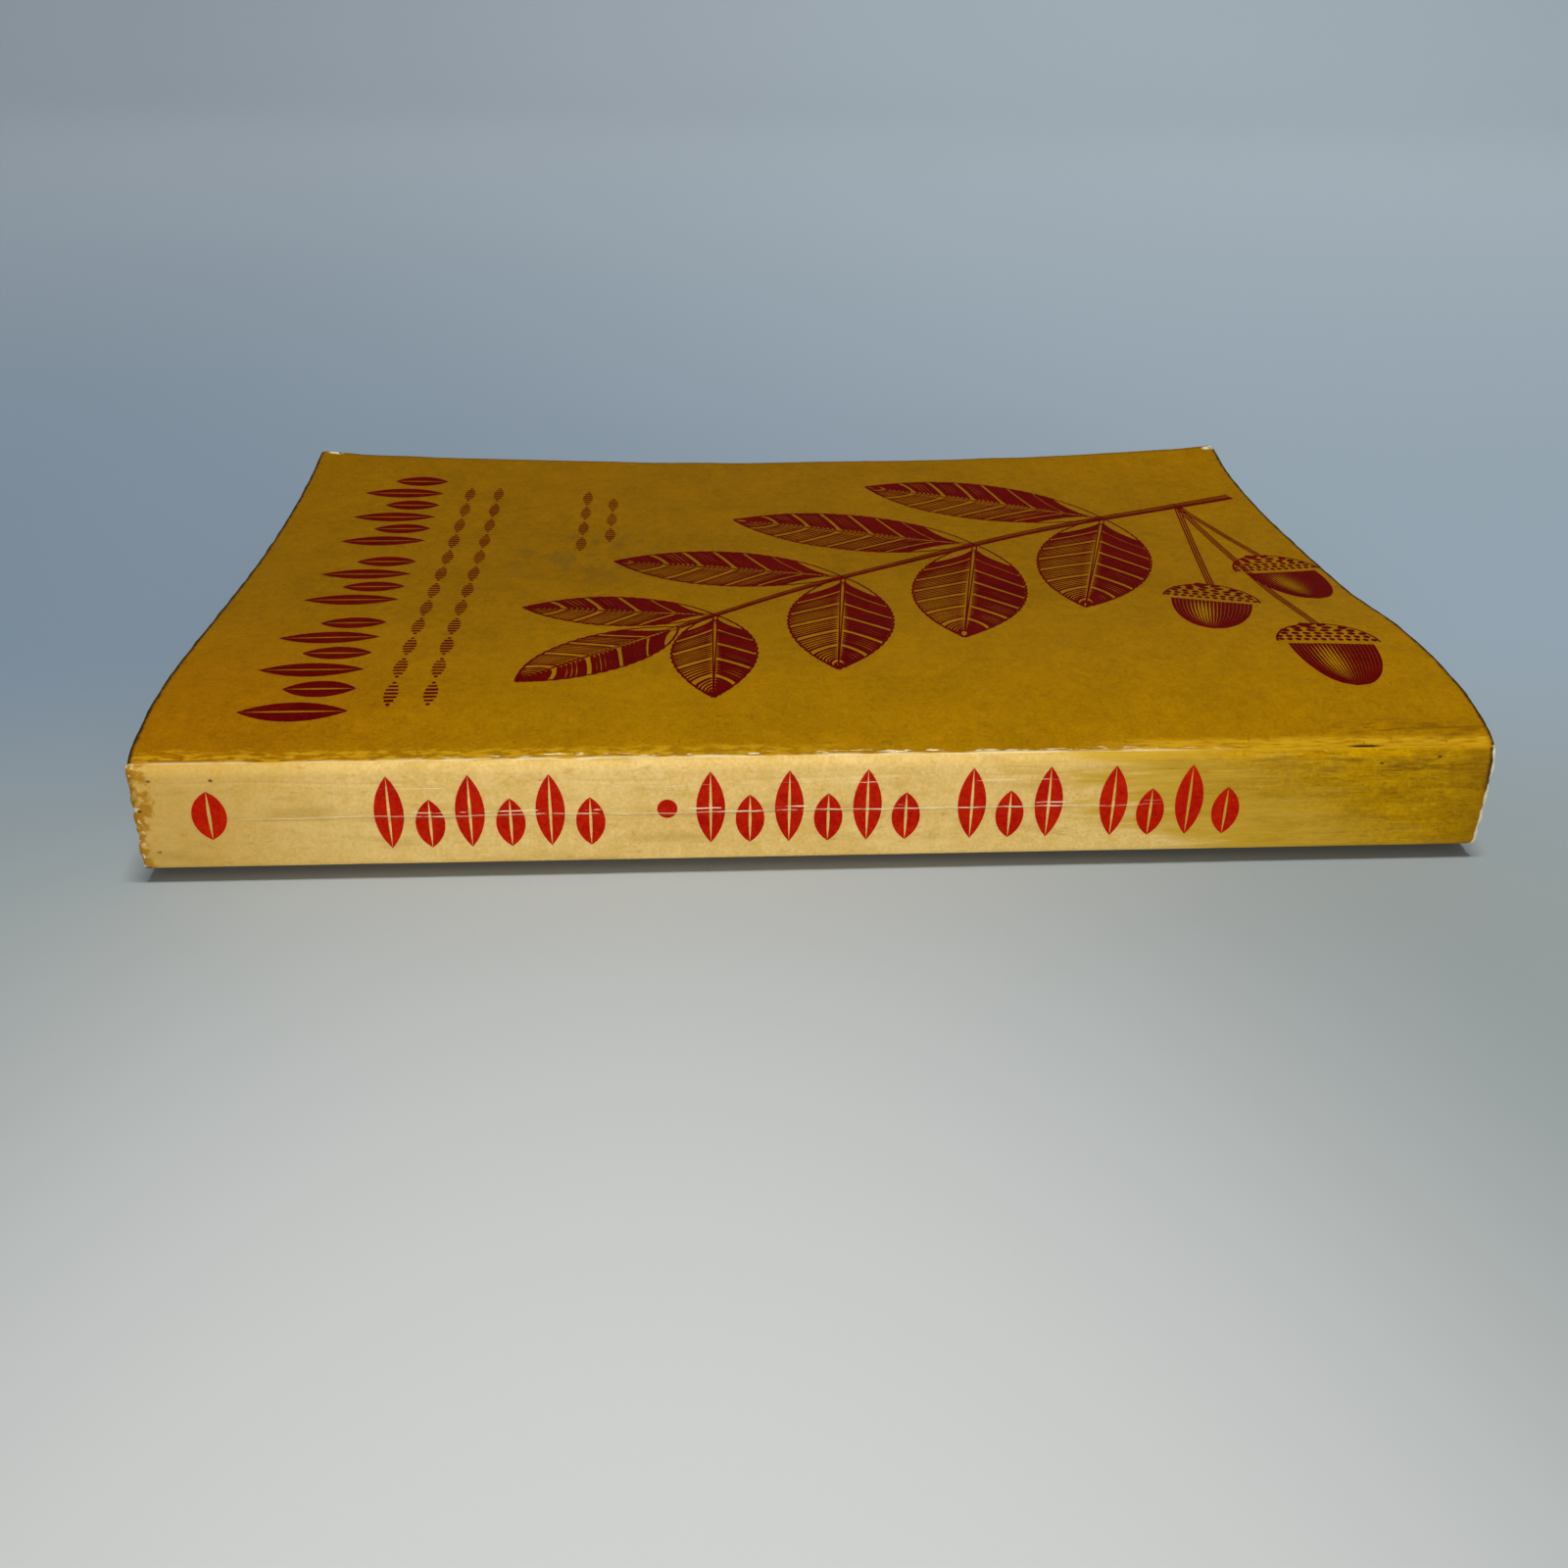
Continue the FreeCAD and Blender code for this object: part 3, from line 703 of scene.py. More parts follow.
class Look:
    """Node tree of one material, with short calls for the nodes that the looks share.

    The surface's place is x, y and z in millimetres; from_fold and from_end are the distances
    from the front cover's fold and from the nearer of the head and tail edges.
    """

    def __init__(self, name, roughness, specular):
        self.material = bpy.data.materials.new(name)
        self.material.use_nodes = True
        self.nodes = self.material.node_tree.nodes
        self.links = self.material.node_tree.links
        self.surface = self.nodes["Principled BSDF"]
        self.surface.inputs["Roughness"].default_value = roughness
        self.surface.inputs["Specular IOR Level"].default_value = specular
        coordinates = self.nodes.new("ShaderNodeTexCoord")
        per_unit = (1.0 / MM, 1.0 / MM, 1.0 / MM)
        self.place = self.vector("MULTIPLY", coordinates.outputs["Object"], per_unit)
        parts = self.nodes.new("ShaderNodeSeparateXYZ")
        self.links.new(self.place, parts.inputs[0])
        self.x, self.y, self.z = parts.outputs
        self.from_fold = self.math("SUBTRACT", self.y, FOLD / MM)
        self.from_end = self.math("SUBTRACT", TAIL / MM, self.math("ABSOLUTE", self.x))

    def feed(self, socket, value):
        if isinstance(value, bpy.types.NodeSocket):
            self.links.new(value, socket)
        else:
            socket.default_value = value

    def operate(self, kind, operation, values):
        node = self.nodes.new(kind)
        node.operation = operation
        for socket, value in zip(node.inputs, values):
            self.feed(socket, value)
        return node.outputs

    def vector(self, operation, *values, output="Vector"):
        return self.operate("ShaderNodeVectorMath", operation, values)[output]

    def math(self, operation, *values):
        return self.operate("ShaderNodeMath", operation, values)[0]

    def chain(self, operation, values):
        """The first value joined to each of the others in turn."""
        result = values[0]
        for value in values[1:]:
            result = self.math(operation, result, value)
        return result

    def times(self, *values):
        return self.chain("MULTIPLY", values)

    def strongest(self, *values):
        return self.chain("MAXIMUM", values)

    def noise(self, grain, seed, detail=3.0, roughness=0.5):
        """Noise whose grains are as large in millimetres as grain says, for all axes or for each."""
        sizes = grain if isinstance(grain, tuple) else (grain, grain, grain)
        rates = tuple(1.0 / size for size in sizes)
        scaled = self.vector("MULTIPLY_ADD", self.place, rates, (seed, seed, seed))
        node = self.nodes.new("ShaderNodeTexNoise")
        self.feed(node.inputs["Vector"], scaled)
        node.inputs["Scale"].default_value = 1.0
        node.inputs["Detail"].default_value = detail
        node.inputs["Roughness"].default_value = roughness
        return node.outputs["Fac"]

    def ramp(self, value, low, high):
        """Smooth step from 0 at low to 1 at high; low may be the larger."""
        node = self.nodes.new("ShaderNodeMapRange")
        node.interpolation_type = "SMOOTHSTEP"
        self.feed(node.inputs["Value"], value)
        ends = (low, high, 0.0, 1.0) if low < high else (high, low, 1.0, 0.0)
        for name, end in zip(("From Min", "From Max", "To Min", "To Max"), ends):
            node.inputs[name].default_value = end
        return node.outputs["Result"]

    def near(self, value, centre, half_width):
        """1 where the value equals the centre, fading to 0 at the half width."""
        distance = self.math("ABSOLUTE", self.math("SUBTRACT", value, centre))
        return self.ramp(distance, half_width, 0.2 * half_width)

    def patches(self, grain, seed, low, high, detail=5.0):
        """Irregular patches: 0 where the noise is under low, 1 where it is over high."""
        return self.ramp(self.noise(grain, seed, detail), low, high)

    def spot(self, centre, radii):
        """Soft round spot about a place, with its radii along the three axes."""
        offset = self.vector("SUBTRACT", self.place, centre)
        scaled = self.vector("MULTIPLY", offset, tuple(1.0 / radius for radius in radii))
        length = self.vector("LENGTH", scaled, output="Value")
        return self.ramp(length, 1.0, 0.3)

    def spots(self, centres, radii):
        return self.strongest(*[self.spot(centre, radii) for centre in centres])

    def mix(self, share, under, over):
        node = self.nodes.new("ShaderNodeMix")
        node.data_type = "RGBA"
        self.feed(node.inputs[0], share)
        self.feed(node.inputs[6], under)
        self.feed(node.inputs[7], over)
        return node.outputs[2]

    def laid(self, color, tone, *shares):
        """The colour under another tone, as strong as the product of the shares."""
        return self.mix(self.times(*shares), color, tone)

    def blotched(self, color, tone, share, grain, seed, low, high, detail=5.0):
        """The colour under irregular patches of another tone, as strong as share says."""
        return self.laid(color, tone, self.patches(grain, seed, low, high, detail), share)

    def shade(self, color, amount, factor):
        """The colour made darker or paler by a share of how far a factor is from one half."""
        node = self.nodes.new("ShaderNodeVectorMath")
        node.operation = "SCALE"
        self.feed(node.inputs[0], color)
        strength = self.math("MULTIPLY_ADD", factor, 2.0 * amount, 1.0 - amount)
        self.feed(node.inputs["Scale"], strength)
        return node.outputs["Vector"]

    def bump(self, height, distance):
        node = self.nodes.new("ShaderNodeBump")
        node.inputs["Distance"].default_value = distance
        self.feed(node.inputs["Height"], height)
        self.links.new(node.outputs["Normal"], self.surface.inputs["Normal"])

    def finish(self, color):
        self.links.new(color, self.surface.inputs["Base Color"])
        return self.material


def srgb(red, green, blue):
    """Linear colour with alpha from the usual 0 to 255 values."""
    channels = []
    for value in (red, green, blue):
        share = value / 255.0
        channels.append(share / 12.92 if share <= 0.04045 else ((share + 0.055) / 1.055) ** 2.4)
    return (*channels, 1.0)


# Lit and shaded ochre of the cover: the step between them is painted light
LIT_OCHRE = srgb(156, 110, 1)
SHADED_OCHRE = srgb(134, 92, 1)
WARM_OCHRE = srgb(150, 92, 1)
DARK_OCHRE = srgb(96, 66, 6)
# Rubbed ochre over the fold, also the painted highlight on the fold near the tail
RUBBED_AND_HIGHLIT_OCHRE = srgb(206, 158, 26)
SPINE_OCHRE = srgb(166, 120, 0)
PALE_SPINE_OCHRE = srgb(196, 148, 0)
GOLDEN = srgb(216, 172, 30)
CREAM = srgb(247, 211, 134)
DEEP_CREAM = srgb(227, 185, 96)
YELLOWED_CREAM = srgb(192, 146, 44)
BLOTCHED_CREAM = srgb(186, 146, 66)
STAINED_CREAM = srgb(208, 166, 54)
TAN = srgb(170, 126, 44)
CHIPPED = srgb(176, 120, 10)
DEEP_CHIPPED = srgb(150, 104, 14)
SCUFFED = srgb(100, 76, 20)
# Painted highlight on the spine's creases
CREASE_HIGHLIGHT = srgb(255, 240, 200)
# Pale rubbed card, also used for painted glints and the painted highlight on the fold
PALE_WEAR_AND_GLINT = srgb(255, 238, 190)
CARD_CORE = srgb(232, 220, 190)
# Brown of stains, browned edges and smudges, and also of the painted shade under the spine's long
# crease
STAIN_AND_SHADE_BROWN = srgb(120, 80, 6)
DIRT = srgb(52, 36, 14)
MAROON = srgb(80, 0, 0)
LIGHT_MAROON = srgb(104, 12, 2)
RED = srgb(208, 36, 2)
DEEP_RED = srgb(172, 8, 0)
PAPER = srgb(228, 212, 172)
BROWNED_PAPER = srgb(204, 176, 120)
CUT_PAPER = srgb(224, 206, 162)
DARK_CUT_PAPER = srgb(192, 166, 116)
SOILED_PAPER = srgb(172, 138, 82)
BARE_CARD = srgb(226, 214, 180)
BROWNED_CARD = srgb(198, 176, 126)
DRY_GLUE = srgb(220, 198, 142)
DARK_GLUE = srgb(196, 168, 104)
# Backdrop tones whose differences are painted light, and the floor's painted pool of light
FLOOR_LEFT = srgb(121, 138, 154)
FLOOR_RIGHT = srgb(149, 165, 177)
FLOOR_FRONT = srgb(150, 158, 158)
WALL_LEFT = srgb(158, 168, 176)
WALL_RIGHT = srgb(179, 191, 199)
POOL_OF_LIGHT_TONE = srgb(211, 212, 209)
FAR_TONE = srgb(168, 180, 188)

# Roughness and specular level of the two printed cards
COVER_GLOSS = (0.6, 0.01)
SPINE_GLOSS = (0.36, 0.03)

# Heights of the relief that the materials add
CARD_RELIEF = 0.03 * MM
PAPER_RELIEF = 0.1 * MM


def card_look(name, roughness, specular):
    """Look of card or paper, and its mottling in three sizes, about 0.5 on average."""
    look = Look(name, roughness, specular)
    fine = look.noise(0.55, 1.0, 3.0, 0.75)
    middle = look.noise(2.2, 1.5, 4.0, 0.7)
    coarse = look.noise(11.0, 2.0, 3.0)
    larger = look.math("MULTIPLY_ADD", middle, 0.35, look.times(coarse, 0.2))
    grain = look.math("ADD", look.times(fine, 0.45), larger)
    look.bump(grain, CARD_RELIEF)
    return look, grain


def ochre_card(look, grain):
    """Ochre of the cover: mottled and flecked, and paler towards the spine and the tail and darker
    towards the far edge as painted light.
    """
    # Painted light: brighter near the fold and the tail, painted shade towards the far edge
    reach = look.math("MULTIPLY_ADD", look.x, -0.12, look.from_fold)
    near_tail = look.times(look.ramp(look.x, 0.0, 130.0), 0.5)
    painted_light_share = look.strongest(look.ramp(reach, 78.0, 4.0), near_tail)
    color = look.mix(painted_light_share, SHADED_OCHRE, LIT_OCHRE)
    near_head = look.ramp(look.x, -40.0, -95.0)
    color = look.laid(color, WARM_OCHRE, near_head, look.ramp(look.from_fold, 60.0, 10.0), 0.6)
    color = look.blotched(color, DARK_OCHRE, 0.25, (1.0, 0.6, 0.6), 3.0, 0.60, 0.74, 4.0)
    return look.shade(color, 0.9, grain)


def rubbed_and_highlit_band(look):
    """Where print is rubbed off in a ragged band over the fold, and a painted highlight along the fold
    towards the tail.
    """
    above_fold = look.ramp(look.from_fold, -0.6, 0.0)
    ragged = look.times(look.noise((4.0, 1.0, 1.0), 7.2, 5.0, 0.7), 3.4)
    inside = look.ramp(look.math("SUBTRACT", look.from_fold, ragged), 0.4, -0.6)
    patches = look.patches((2.4, 0.6, 0.6), 7.0, 0.42, 0.58)
    band = look.times(inside, above_fold, patches, look.ramp(look.x, 30.0, -30.0), 0.8)
    # Painted highlight on the rounded fold towards the tail, broken into patches
    upper_edge = look.ramp(look.from_fold, 2.2, 1.1)
    lower_edge = look.ramp(look.from_fold, -0.5, 0.0)
    highlight_breaks = look.patches((3.0, 0.5, 0.5), 7.5, 0.26, 0.64, 6.0)
    near_tail = look.ramp(look.x, 35.0, 52.0)
    return look.strongest(band, look.times(upper_edge, lower_edge, near_tail, highlight_breaks))


def rubbed_line_and_glints(look):
    """A thin broken line along the fold where print is gone, partly a painted highlight, and fine
    painted glints over it.
    """
    # Painted glints just over the fold
    wander = look.math("SUBTRACT", look.noise(14.0, 8.0), 0.5)
    wandering = look.near(look.math("MULTIPLY_ADD", wander, 1.4, look.from_fold), 0.3, 0.28)
    broken = look.patches((2.6, 0.3, 0.3), 9.0, 0.53, 0.62)
    between = look.times(look.ramp(look.x, 66.0, 40.0), look.ramp(look.x, -66.0, -44.0))
    glints = look.times(wandering, broken, between)
    # Pale line on the fold: rubbed card and a painted highlight
    line = look.times(look.near(look.from_fold, 0.0, 0.24), look.ramp(look.x, 60.0, 44.0))
    broken = look.patches((5.0, 0.8, 0.8), 9.5, 0.36, 0.62)
    near_middle = look.math("MULTIPLY_ADD", look.ramp(look.x, -75.0, -35.0), 0.3, 0.35)
    return look.strongest(glints, look.times(line, broken, near_middle))


def fold_wear_and_highlights(look, color):
    """Print rubbed off along the fold, with a painted highlight and painted glints on it, and a thin
    dark line in the fold near the tail.
    """
    color = look.laid(color, RUBBED_AND_HIGHLIT_OCHRE, rubbed_and_highlit_band(look), 0.75)
    color = look.laid(color, PALE_WEAR_AND_GLINT, rubbed_line_and_glints(look))
    # Thin dark line in the fold near the tail, in the dark tone
    dark_line_place = look.spot((81.0, FOLD / MM, 18.5), (3.5, 9.0, 9.0))
    return look.laid(color, DIRT, look.near(look.from_fold, 0.1, 0.28), dark_line_place)


def worn_edges(look, color):
    """Dark worn outline and pale frayed corners of a cover."""
    from_fore_edge = look.math("SUBTRACT", (FOLD + WIDTH) / MM, look.y)
    edge = look.math("MINIMUM", look.from_end, from_fore_edge)
    depth = look.times(look.noise(2.0, 5.0, 5.0, 0.7), 1.6)
    browned = look.ramp(look.math("SUBTRACT", edge, depth), 0.4, -0.7)
    color = look.laid(color, STAIN_AND_SHADE_BROWN, browned, 0.6)
    depth = look.times(look.noise(1.4, 6.0, 5.0, 0.7), 1.3)
    soiled = look.ramp(look.math("SUBTRACT", look.from_end, depth), 0.1, -0.35)
    color = look.laid(color, DIRT, soiled, 0.9)
    corners = [(-98.5, FOLD / MM + 136.6, 17.0), (100.4, FOLD / MM + 136.0, 18.0)]
    frayed = look.patches(0.9, 6.8, 0.42, 0.52, 3.0)
    return look.laid(color, CARD_CORE, look.spots(corners, (2.2, 1.2, 9.0)), frayed)


def cover_marks(look, color):
    """Scuff in the middle of the cover, smudges over its fold, one dark dot and small specks."""
    scuff = look.spot((-40.0, FOLD / MM + 80.0, 16.0), (22.0, 22.0, 22.0))
    scuffed = look.patches((3.0, 6.0, 3.0), 10.0, 0.46, 0.66)
    color = look.laid(color, SCUFFED, scuff, scuffed, 0.5)
    places = [(94.0, FOLD / MM + 3.0, 19.0), (84.0, FOLD / MM + 3.6, 19.0)]
    smudged = look.patches((4.0, 0.7, 0.7), 11.0, 0.44, 0.62)
    color = look.laid(color, STAIN_AND_SHADE_BROWN, look.spots(places, (11.0, 2.6, 9.0)), smudged, 0.8)
    color = look.laid(color, DIRT, look.spot((85.3, FOLD / MM + 35.4, 19.7), (0.6, 0.9, 5.0)))
    return look.blotched(color, STAIN_AND_SHADE_BROWN, 0.5, 1.1, 12.0, 0.70, 0.74, 2.0)


def cover_material():
    look, grain = card_look("printed_cover_card", *COVER_GLOSS)
    color = fold_wear_and_highlights(look, ochre_card(look, grain))
    return look.finish(cover_marks(look, worn_edges(look, color)))


def spine_cream(look, grain):
    """Cream of the spine: mottled, blotched, and yellowed towards the head."""
    cream = look.mix(look.ramp(grain, 0.35, 0.65), DEEP_CREAM, CREAM)
    cream = look.laid(cream, YELLOWED_CREAM, look.ramp(look.x, -60.0, -98.0), 0.55)
    return look.blotched(cream, BLOTCHED_CREAM, 0.45, (14.0, 3.0, 3.0), 13.0, 0.50, 0.75, 4.0)


def spine_ochre(look, grain):
    """Ochre of the spine's tail end: mottled, with fine streaks, dark flecks and bright flecks."""
    patches = look.patches((8.0, 1.5, 1.5), 13.5, 0.25, 0.75)
    ochre = look.shade(look.mix(patches, SPINE_OCHRE, PALE_SPINE_OCHRE), 0.95, grain)
    ochre = look.blotched(ochre, STAIN_AND_SHADE_BROWN, 0.4, (9.0, 0.3, 0.3), 13.8, 0.54, 0.70)
    ochre = look.blotched(ochre, STAIN_AND_SHADE_BROWN, 0.35, (1.6, 0.7, 0.7), 13.2, 0.54, 0.66)
    return look.blotched(ochre, GOLDEN, 0.4, (1.4, 0.6, 0.6), 13.4, 0.56, 0.68)


def spine_base(look, grain):
    """Cream of the spine, stained ochre towards the tail in streaks that run along the book."""
    streaks = look.noise((11.0, 0.9, 0.9), 14.0, 6.0, 0.65)
    patches = look.noise((18.0, 4.0, 4.0), 14.5, 4.0)
    stained = look.math("MULTIPLY_ADD", streaks, 46.0, look.x)
    stained = look.math("MULTIPLY_ADD", patches, 36.0, stained)
    stained = look.math("MULTIPLY_ADD", look.z, 1.5, stained)
    cream = spine_cream(look, grain)
    half_way = look.mix(look.ramp(stained, 90.0, 112.0), cream, STAINED_CREAM)
    return look.mix(look.ramp(stained, 104.0, 146.0), half_way, spine_ochre(look, grain))


def broken_line(look, height, centre, half_width, grain, seed, low, high, detail):
    """Thin line along the spine, broken by gaps whose length follows the grain."""
    broken = look.patches((grain, 0.6, 0.6), seed, low, high, detail)
    return look.times(look.near(height, centre, half_width), broken)


def crease_highlights_and_shade(look, color):
    """Painted highlights along the creases of the spine, the longest across the print, and painted
    shade just under it.
    """
    swing = look.math("SUBTRACT", look.noise(30.0, 15.0), 0.5)
    jitter = look.math("SUBTRACT", look.noise((3.0, 40.0, 40.0), 15.5), 0.5)
    height = look.math("ADD", look.z, look.times(swing, 1.5))
    height = look.math("ADD", height, look.times(jitter, 0.35))
    reach = look.times(look.ramp(look.x, -90.0, -78.0), look.ramp(look.x, 54.0, 30.0))
    middle = look.times(look.ramp(look.x, -70.0, -55.0), reach)
    long_line = broken_line(look, height, 10.3, 0.14, 4.0, 16.0, 0.42, 0.62, 5.0)
    thin_line = broken_line(look, height, 10.3, 0.12, 2.0, 16.5, 0.36, 0.5, 3.0)
    second = broken_line(look, height, 10.9, 0.14, 4.0, 17.0, 0.54, 0.62, 4.0)
    faint = broken_line(look, height, 14.6, 0.10, 6.0, 18.0, 0.54, 0.62, 4.0)
    crease_highlight_share = look.times(look.strongest(long_line, second, look.times(faint, 0.7)), middle)
    crease_highlight_share = look.strongest(crease_highlight_share, look.times(thin_line, reach, 0.45))
    # Painted shade just under the long crease
    color = look.laid(color, STAIN_AND_SHADE_BROWN, look.near(height, 10.0, 0.26), reach, 0.16)
    # Painted highlights on the creases
    return look.laid(color, CREASE_HIGHLIGHT, crease_highlight_share)


def head_stains(look, color):
    """Ragged browned chips at the head end of the spine, and pale rubbed spots at its edge that are
    partly painted glints.
    """
    head = look.ramp(look.x, -60.0, -80.0)
    reach = look.math("MULTIPLY_ADD", look.ramp(look.z, 5.0, 13.0), 2.6, 3.2)
    depth = look.times(look.noise(1.8, 19.0, 5.0, 0.75), reach)
    ragged = look.math("SUBTRACT", look.from_end, depth)
    chips = look.patches(1.7, 19.5, 0.42, 0.52)
    color = look.laid(color, CHIPPED, look.ramp(ragged, 0.4, -0.6), chips, head, 0.85)
    color = look.laid(color, DEEP_CHIPPED, look.ramp(ragged, -1.7, -2.6), head, 0.6)
    # Pale rubbed spots at the edge, partly painted glints
    rubbed_spots_and_glints = look.patches(1.2, 24.0, 0.56, 0.64, 4.0)
    return look.laid(color, PALE_WEAR_AND_GLINT, look.ramp(look.from_end, 1.6, 0.2), rubbed_spots_and_glints, head)


def tail_stains(look, color):
    """Darkened, smudged and torn tail end of the spine."""
    tail = look.ramp(look.x, 60.0, 80.0)
    color = look.laid(color, STAIN_AND_SHADE_BROWN, look.ramp(look.from_end, 11.0, 0.0), tail, 0.5)
    smears = look.patches((6.0, 0.7, 0.7), 20.0, 0.50, 0.68)
    top = look.ramp(look.z, 11.0, 16.0)
    color = look.laid(color, STAIN_AND_SHADE_BROWN, smears, top, look.ramp(look.x, 44.0, 74.0), 0.5)
    places = [(91.5, -68.0, 17.4), (88.5, -68.4, 15.8)]
    smudged = look.patches((3.0, 0.5, 0.5), 20.5, 0.40, 0.60)
    color = look.laid(color, STAIN_AND_SHADE_BROWN, look.spots(places, (7.0, 4.0, 1.1)), smudged, 0.6)
    upper = look.ramp(look.z, 9.0, 15.0)
    color = look.laid(color, DIRT, look.ramp(look.from_end, 1.3, 0.6), upper, tail, 0.9)
    torn = look.math("MULTIPLY_ADD", look.noise(1.5, 24.5, 4.0), -0.9, look.from_end)
    return look.laid(color, CARD_CORE, look.ramp(torn, 0.18, -0.05), tail)


def spine_stains(look, color):
    """Tan flecks all over the spine, its two worn ends, and small dark specks near them."""
    color = look.blotched(color, TAN, 0.4, (2.0, 0.7, 0.7), 23.0, 0.60, 0.78)
    color = tail_stains(look, head_stains(look, color))
    places = [(-98.5, -69.0, 16.3), (-100.4, -69.0, 11.7), (-98.7, -69.8, 5.0)]
    places += [(-89.8, -68.0, 16.3), (83.6, -68.6, 16.4), (92.6, -68.0, 17.2)]
    speckled = look.patches(0.4, 26.0, 0.34, 0.44, 3.0)
    color = look.laid(color, DIRT, look.spots(places, (0.5, 3.0, 0.32)), speckled, 0.85)
    return look.laid(color, DIRT, look.spot((-101.0, -69.5, 1.8), (1.2, 3.0, 0.6)))


def spine_material():
    look, grain = card_look("printed_spine_card", *SPINE_GLOSS)
    color = spine_stains(look, spine_base(look, grain))
    return look.finish(fold_wear_and_highlights(look, crease_highlights_and_shade(look, color)))


def cover_ink_material():
    look, grain = card_look("maroon_ink_on_card", *COVER_GLOSS)
    return look.finish(look.mix(look.ramp(grain, 0.35, 0.7), MAROON, LIGHT_MAROON))


def spine_ink_material():
    look, grain = card_look("red_ink_on_card", *SPINE_GLOSS)
    color = look.mix(look.ramp(grain, 0.35, 0.65), DEEP_RED, RED)
    # Painted highlights and shade on the creases over the ink
    return look.finish(crease_highlights_and_shade(look, color))


def leaf_material():
    """Face of a blank leaf, browned towards its edges."""
    look, grain = card_look("blank_leaf", 0.8, 0.1)
    browned = look.math("MULTIPLY_ADD", look.noise(20.0, 21.0), 12.0, look.from_end)
    color = look.mix(look.ramp(browned, 18.0, 2.0), PAPER, BROWNED_PAPER)
    return look.finish(look.shade(color, 0.12, grain))


def leaf_edges_material():
    """Cut edges of the leaves: fine lines that run around the block, browned and soiled."""
    look = Look("cut_leaf_edges", 0.75, 0.15)
    lines = look.noise((60.0, 60.0, 0.12), 22.0)
    color = look.mix(look.ramp(lines, 0.3, 0.7), DARK_CUT_PAPER, CUT_PAPER)
    look.bump(lines, PAPER_RELIEF)
    return look.finish(look.blotched(color, SOILED_PAPER, 0.4, 14.0, 22.5, 0.5, 0.8, 4.0))


def bare_card_material():
    """Unprinted inner face and cut edges of the card."""
    look, grain = card_look("bare_card", 0.7, 0.15)
    color = look.blotched(BARE_CARD, BROWNED_CARD, 0.3, 18.0, 27.0, 0.45, 0.8, 4.0)
    return look.finish(look.shade(color, 0.15, grain))


def glue_material():
    look = Look("yellowed_glue", 0.4, 0.4)
    lumps = look.noise(3.0, 25.0)
    look.bump(lumps, PAPER_RELIEF)
    return look.finish(look.mix(lumps, DARK_GLUE, DRY_GLUE))


# Stage: floor sweeping up into a backdrop, lights and camera


def backdrop_material():
    """Pale tones that change softly as painted light, darker to the left and lighter up the wall, with
    a painted pool of light on the floor in front of the book.

    Far behind the camera and far aside, the camera alone sees one plain tone that lights nothing.
    """
    look = Look("pale_backdrop", 0.7, 0.1)
    # Painted light: the floor darker to the left, the wall lighter
    near_book = look.mix(look.ramp(look.x, -230.0, 150.0), FLOOR_LEFT, FLOOR_RIGHT)
    near_book = look.mix(look.ramp(look.y, 10.0, -90.0), near_book, FLOOR_FRONT)
    wall = look.mix(look.ramp(look.x, -500.0, 500.0), WALL_LEFT, WALL_RIGHT)
    color = look.mix(look.ramp(look.y, -60.0, 700.0), near_book, wall)
    # Painted pool of light on the floor in front of the book
    light_pool = look.spot((-29.0, -268.0, 0.0), (162.0, 275.0, 290.0))
    behind_camera = look.ramp(look.y, -900.0, -1500.0)
    aside = look.ramp(look.math("ABSOLUTE", look.x), 1500.0, 2600.0)
    rays = look.nodes.new("ShaderNodeLightPath")
    is_plain = look.times(rays.outputs["Is Camera Ray"], look.strongest(behind_camera, aside))
    plain = look.nodes.new("ShaderNodeEmission")
    plain.inputs["Color"].default_value = FAR_TONE
    choice = look.nodes.new("ShaderNodeMixShader")
    for socket, value in zip(choice.inputs, (is_plain, look.surface.outputs[0], plain.outputs[0])):
        look.feed(socket, value)
    look.feed(look.nodes["Material Output"].inputs["Surface"], choice.outputs[0])
    return look.finish(look.mix(light_pool, color, POOL_OF_LIGHT_TONE))


def backdrop():
    """Wide floor that curves up behind the book into a wall; lengths are in metres."""
    reach = 7.0
    back = 0.8
    bend = 0.5
    wall_top = 2.2
    steps = 16
    profile = [(-reach, 0.0), (back, 0.0)]
    for step in range(1, steps + 1):
        angle = math.pi / 2.0 * step / steps
        profile.append((back + bend * math.sin(angle), bend * (1.0 - math.cos(angle))))
    profile.append((back + bend, wall_top))
    points = [(x, y, z) for y, z in profile for x in (-reach, reach)]
    mesh = bpy.data.meshes.new("backdrop")
    mesh.from_pydata(points, [], grid_faces(len(profile), 2).tolist())
    mesh.shade_smooth()
    mesh.materials.append(backdrop_material())
    new_object("backdrop", mesh)


def area_light(name, place, aim, size, power):
    data = bpy.data.lights.new(name, "AREA")
    data.shape = "RECTANGLE"
    data.size, data.size_y = size
    data.energy = power
    lamp = new_object(name, data)
    lamp.location = place
    lamp.rotation_euler = (Vector(aim) - Vector(place)).to_track_quat("-Z", "Y").to_euler()


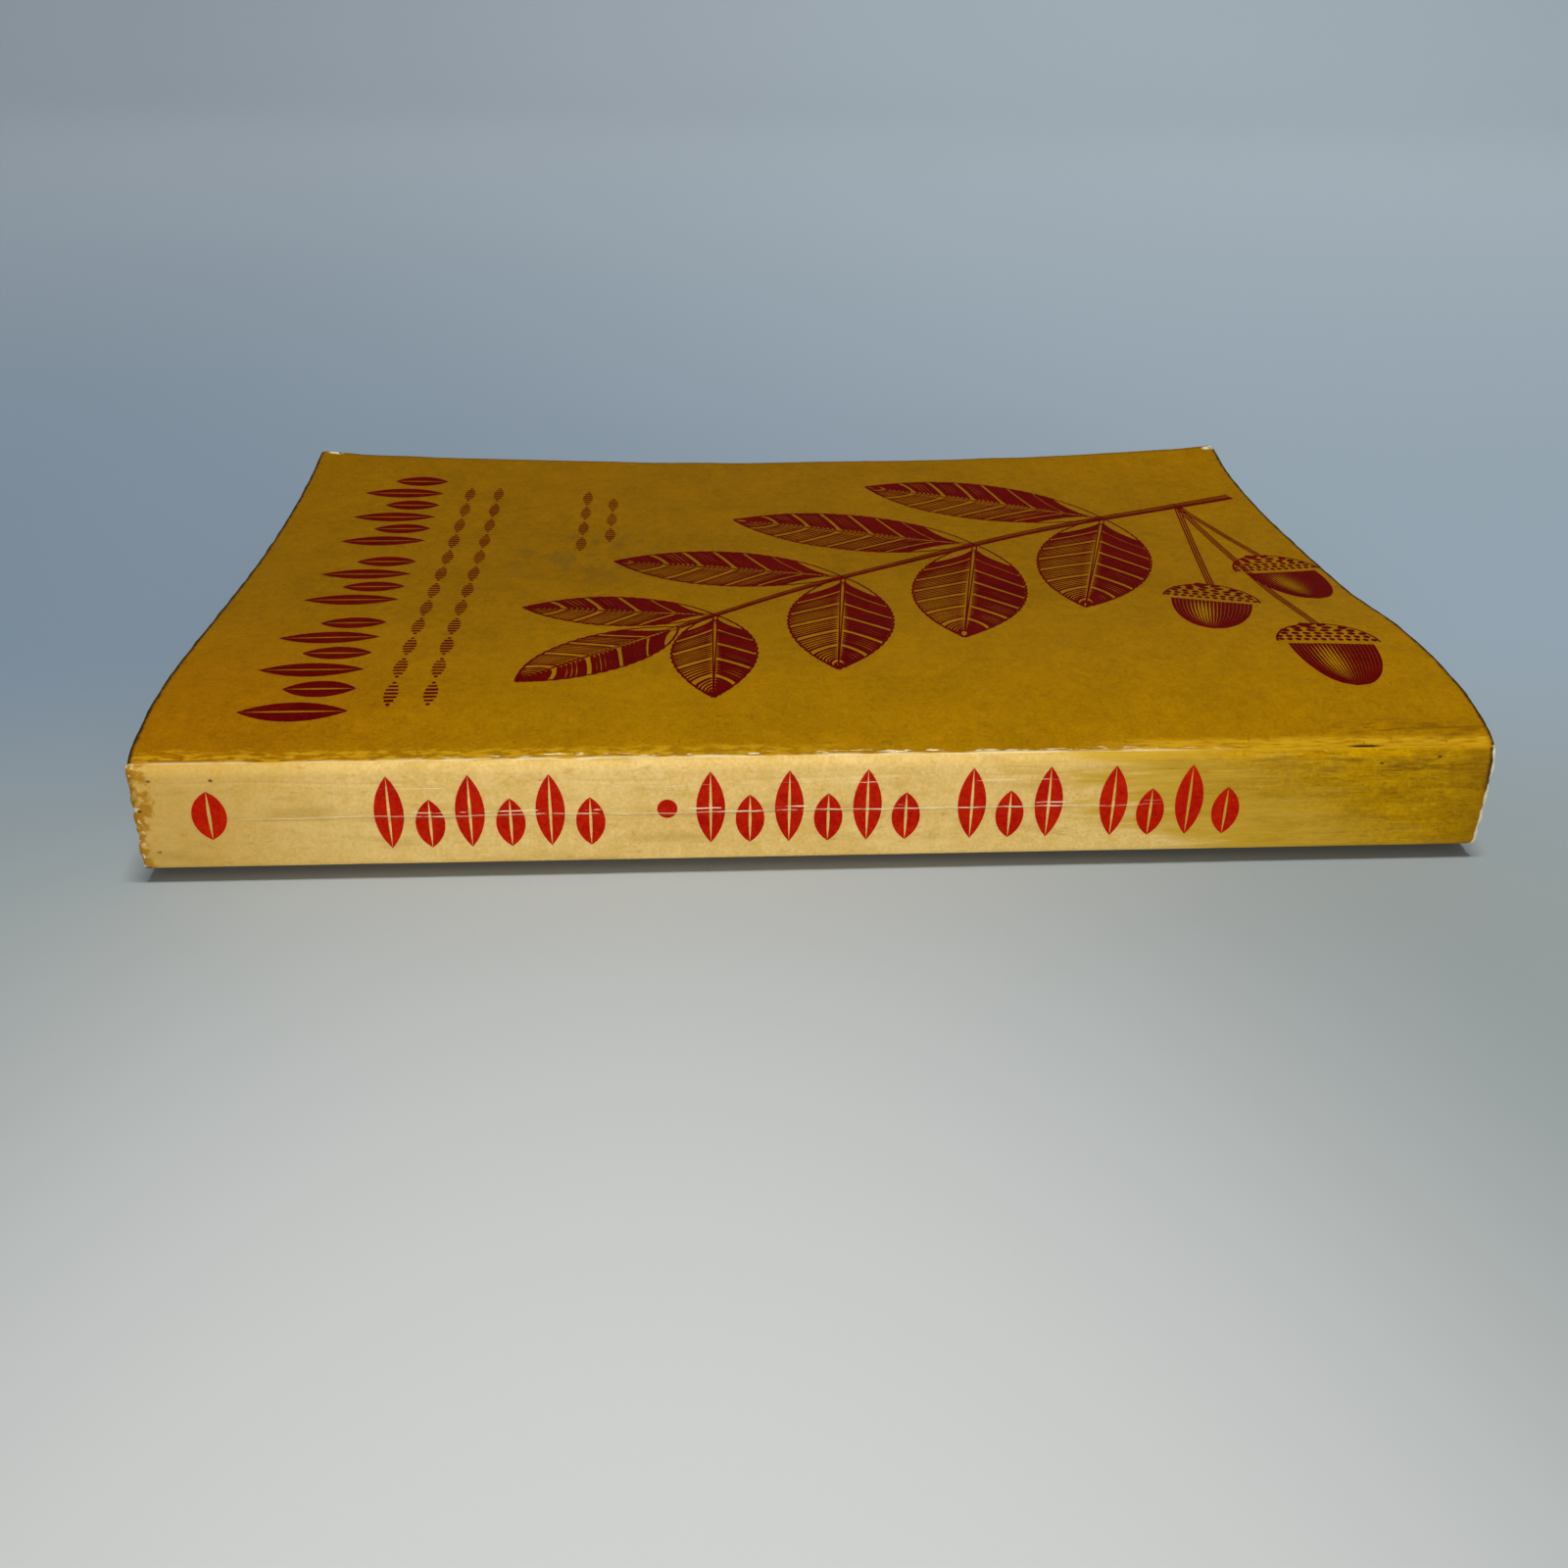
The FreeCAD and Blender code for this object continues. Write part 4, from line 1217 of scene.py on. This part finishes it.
def lights():
    """A large soft light overhead and a weaker one from the front, both aimed at the book."""
    area_light("overhead", (0.06, 0.11, 2.0), (0.06, 0.0, 0.0), (0.6, 0.14), 28.0)
    area_light("front", (0.05, -1.1, 0.15), (0.0, 0.0, 0.0), (0.9, 0.24), 5.3)


def surroundings():
    """Even white light from all around, where the camera itself sees the plain far tone."""
    world = bpy.data.worlds.new("plain")
    world.use_nodes = True
    nodes, links = world.node_tree.nodes, world.node_tree.links
    lighting = nodes["Background"]
    lighting.inputs["Color"].default_value = (1.0, 1.0, 1.0, 1.0)
    lighting.inputs["Strength"].default_value = 0.20
    seen = nodes.new("ShaderNodeBackground")
    seen.inputs["Color"].default_value = FAR_TONE
    rays = nodes.new("ShaderNodeLightPath")
    choice = nodes.new("ShaderNodeMixShader")
    links.new(rays.outputs["Is Camera Ray"], choice.inputs[0])
    links.new(lighting.outputs[0], choice.inputs[1])
    links.new(seen.outputs[0], choice.inputs[2])
    links.new(choice.outputs[0], nodes["World Output"].inputs["Surface"])
    bpy.context.scene.world = world


def camera():
    """Camera of the photograph: its place, its line of sight and its right-hand direction."""
    place = Vector((-21.8, -250.4, 127.5)) * MM
    sight = Vector((0.06796, 0.84709, -0.52709)).normalized()
    right = Vector((0.99757, -0.06579, 0.02289)).normalized()
    up = right.cross(sight)
    data = bpy.data.cameras.new("camera")
    data.sensor_width = 36.0
    data.lens = 33.3
    data.clip_start = 0.01
    view = new_object("camera", data)
    view.matrix_world = Matrix.Translation(place) @ Matrix((right, up, -sight)).transposed().to_4x4()
    bpy.context.scene.camera = view


def dress(piece, material, second_material=None):
    """Gives a piece its material, and the faces marked for it a second one."""
    piece.data.materials.append(material)
    piece.data.materials.append(second_material or material)
    return piece


printed_card = cover_material()
bare_card = bare_card_material()
blank_leaf = leaf_material()
dress(front_card(), printed_card, bare_card)
dress(back_card(), printed_card, bare_card)
dress(spine_card(), spine_material(), bare_card)
dress(page_leaves(), leaf_edges_material())
dress(end_leaf("first_leaf", True), blank_leaf)
dress(end_leaf("last_leaf", False), blank_leaf)
dress(glue_strip(), glue_material())
dress(cover_ink(), cover_ink_material())
dress(spine_ink(), spine_ink_material())

backdrop()
lights()
surroundings()
camera()
bpy.context.scene.view_settings.view_transform = "Standard"
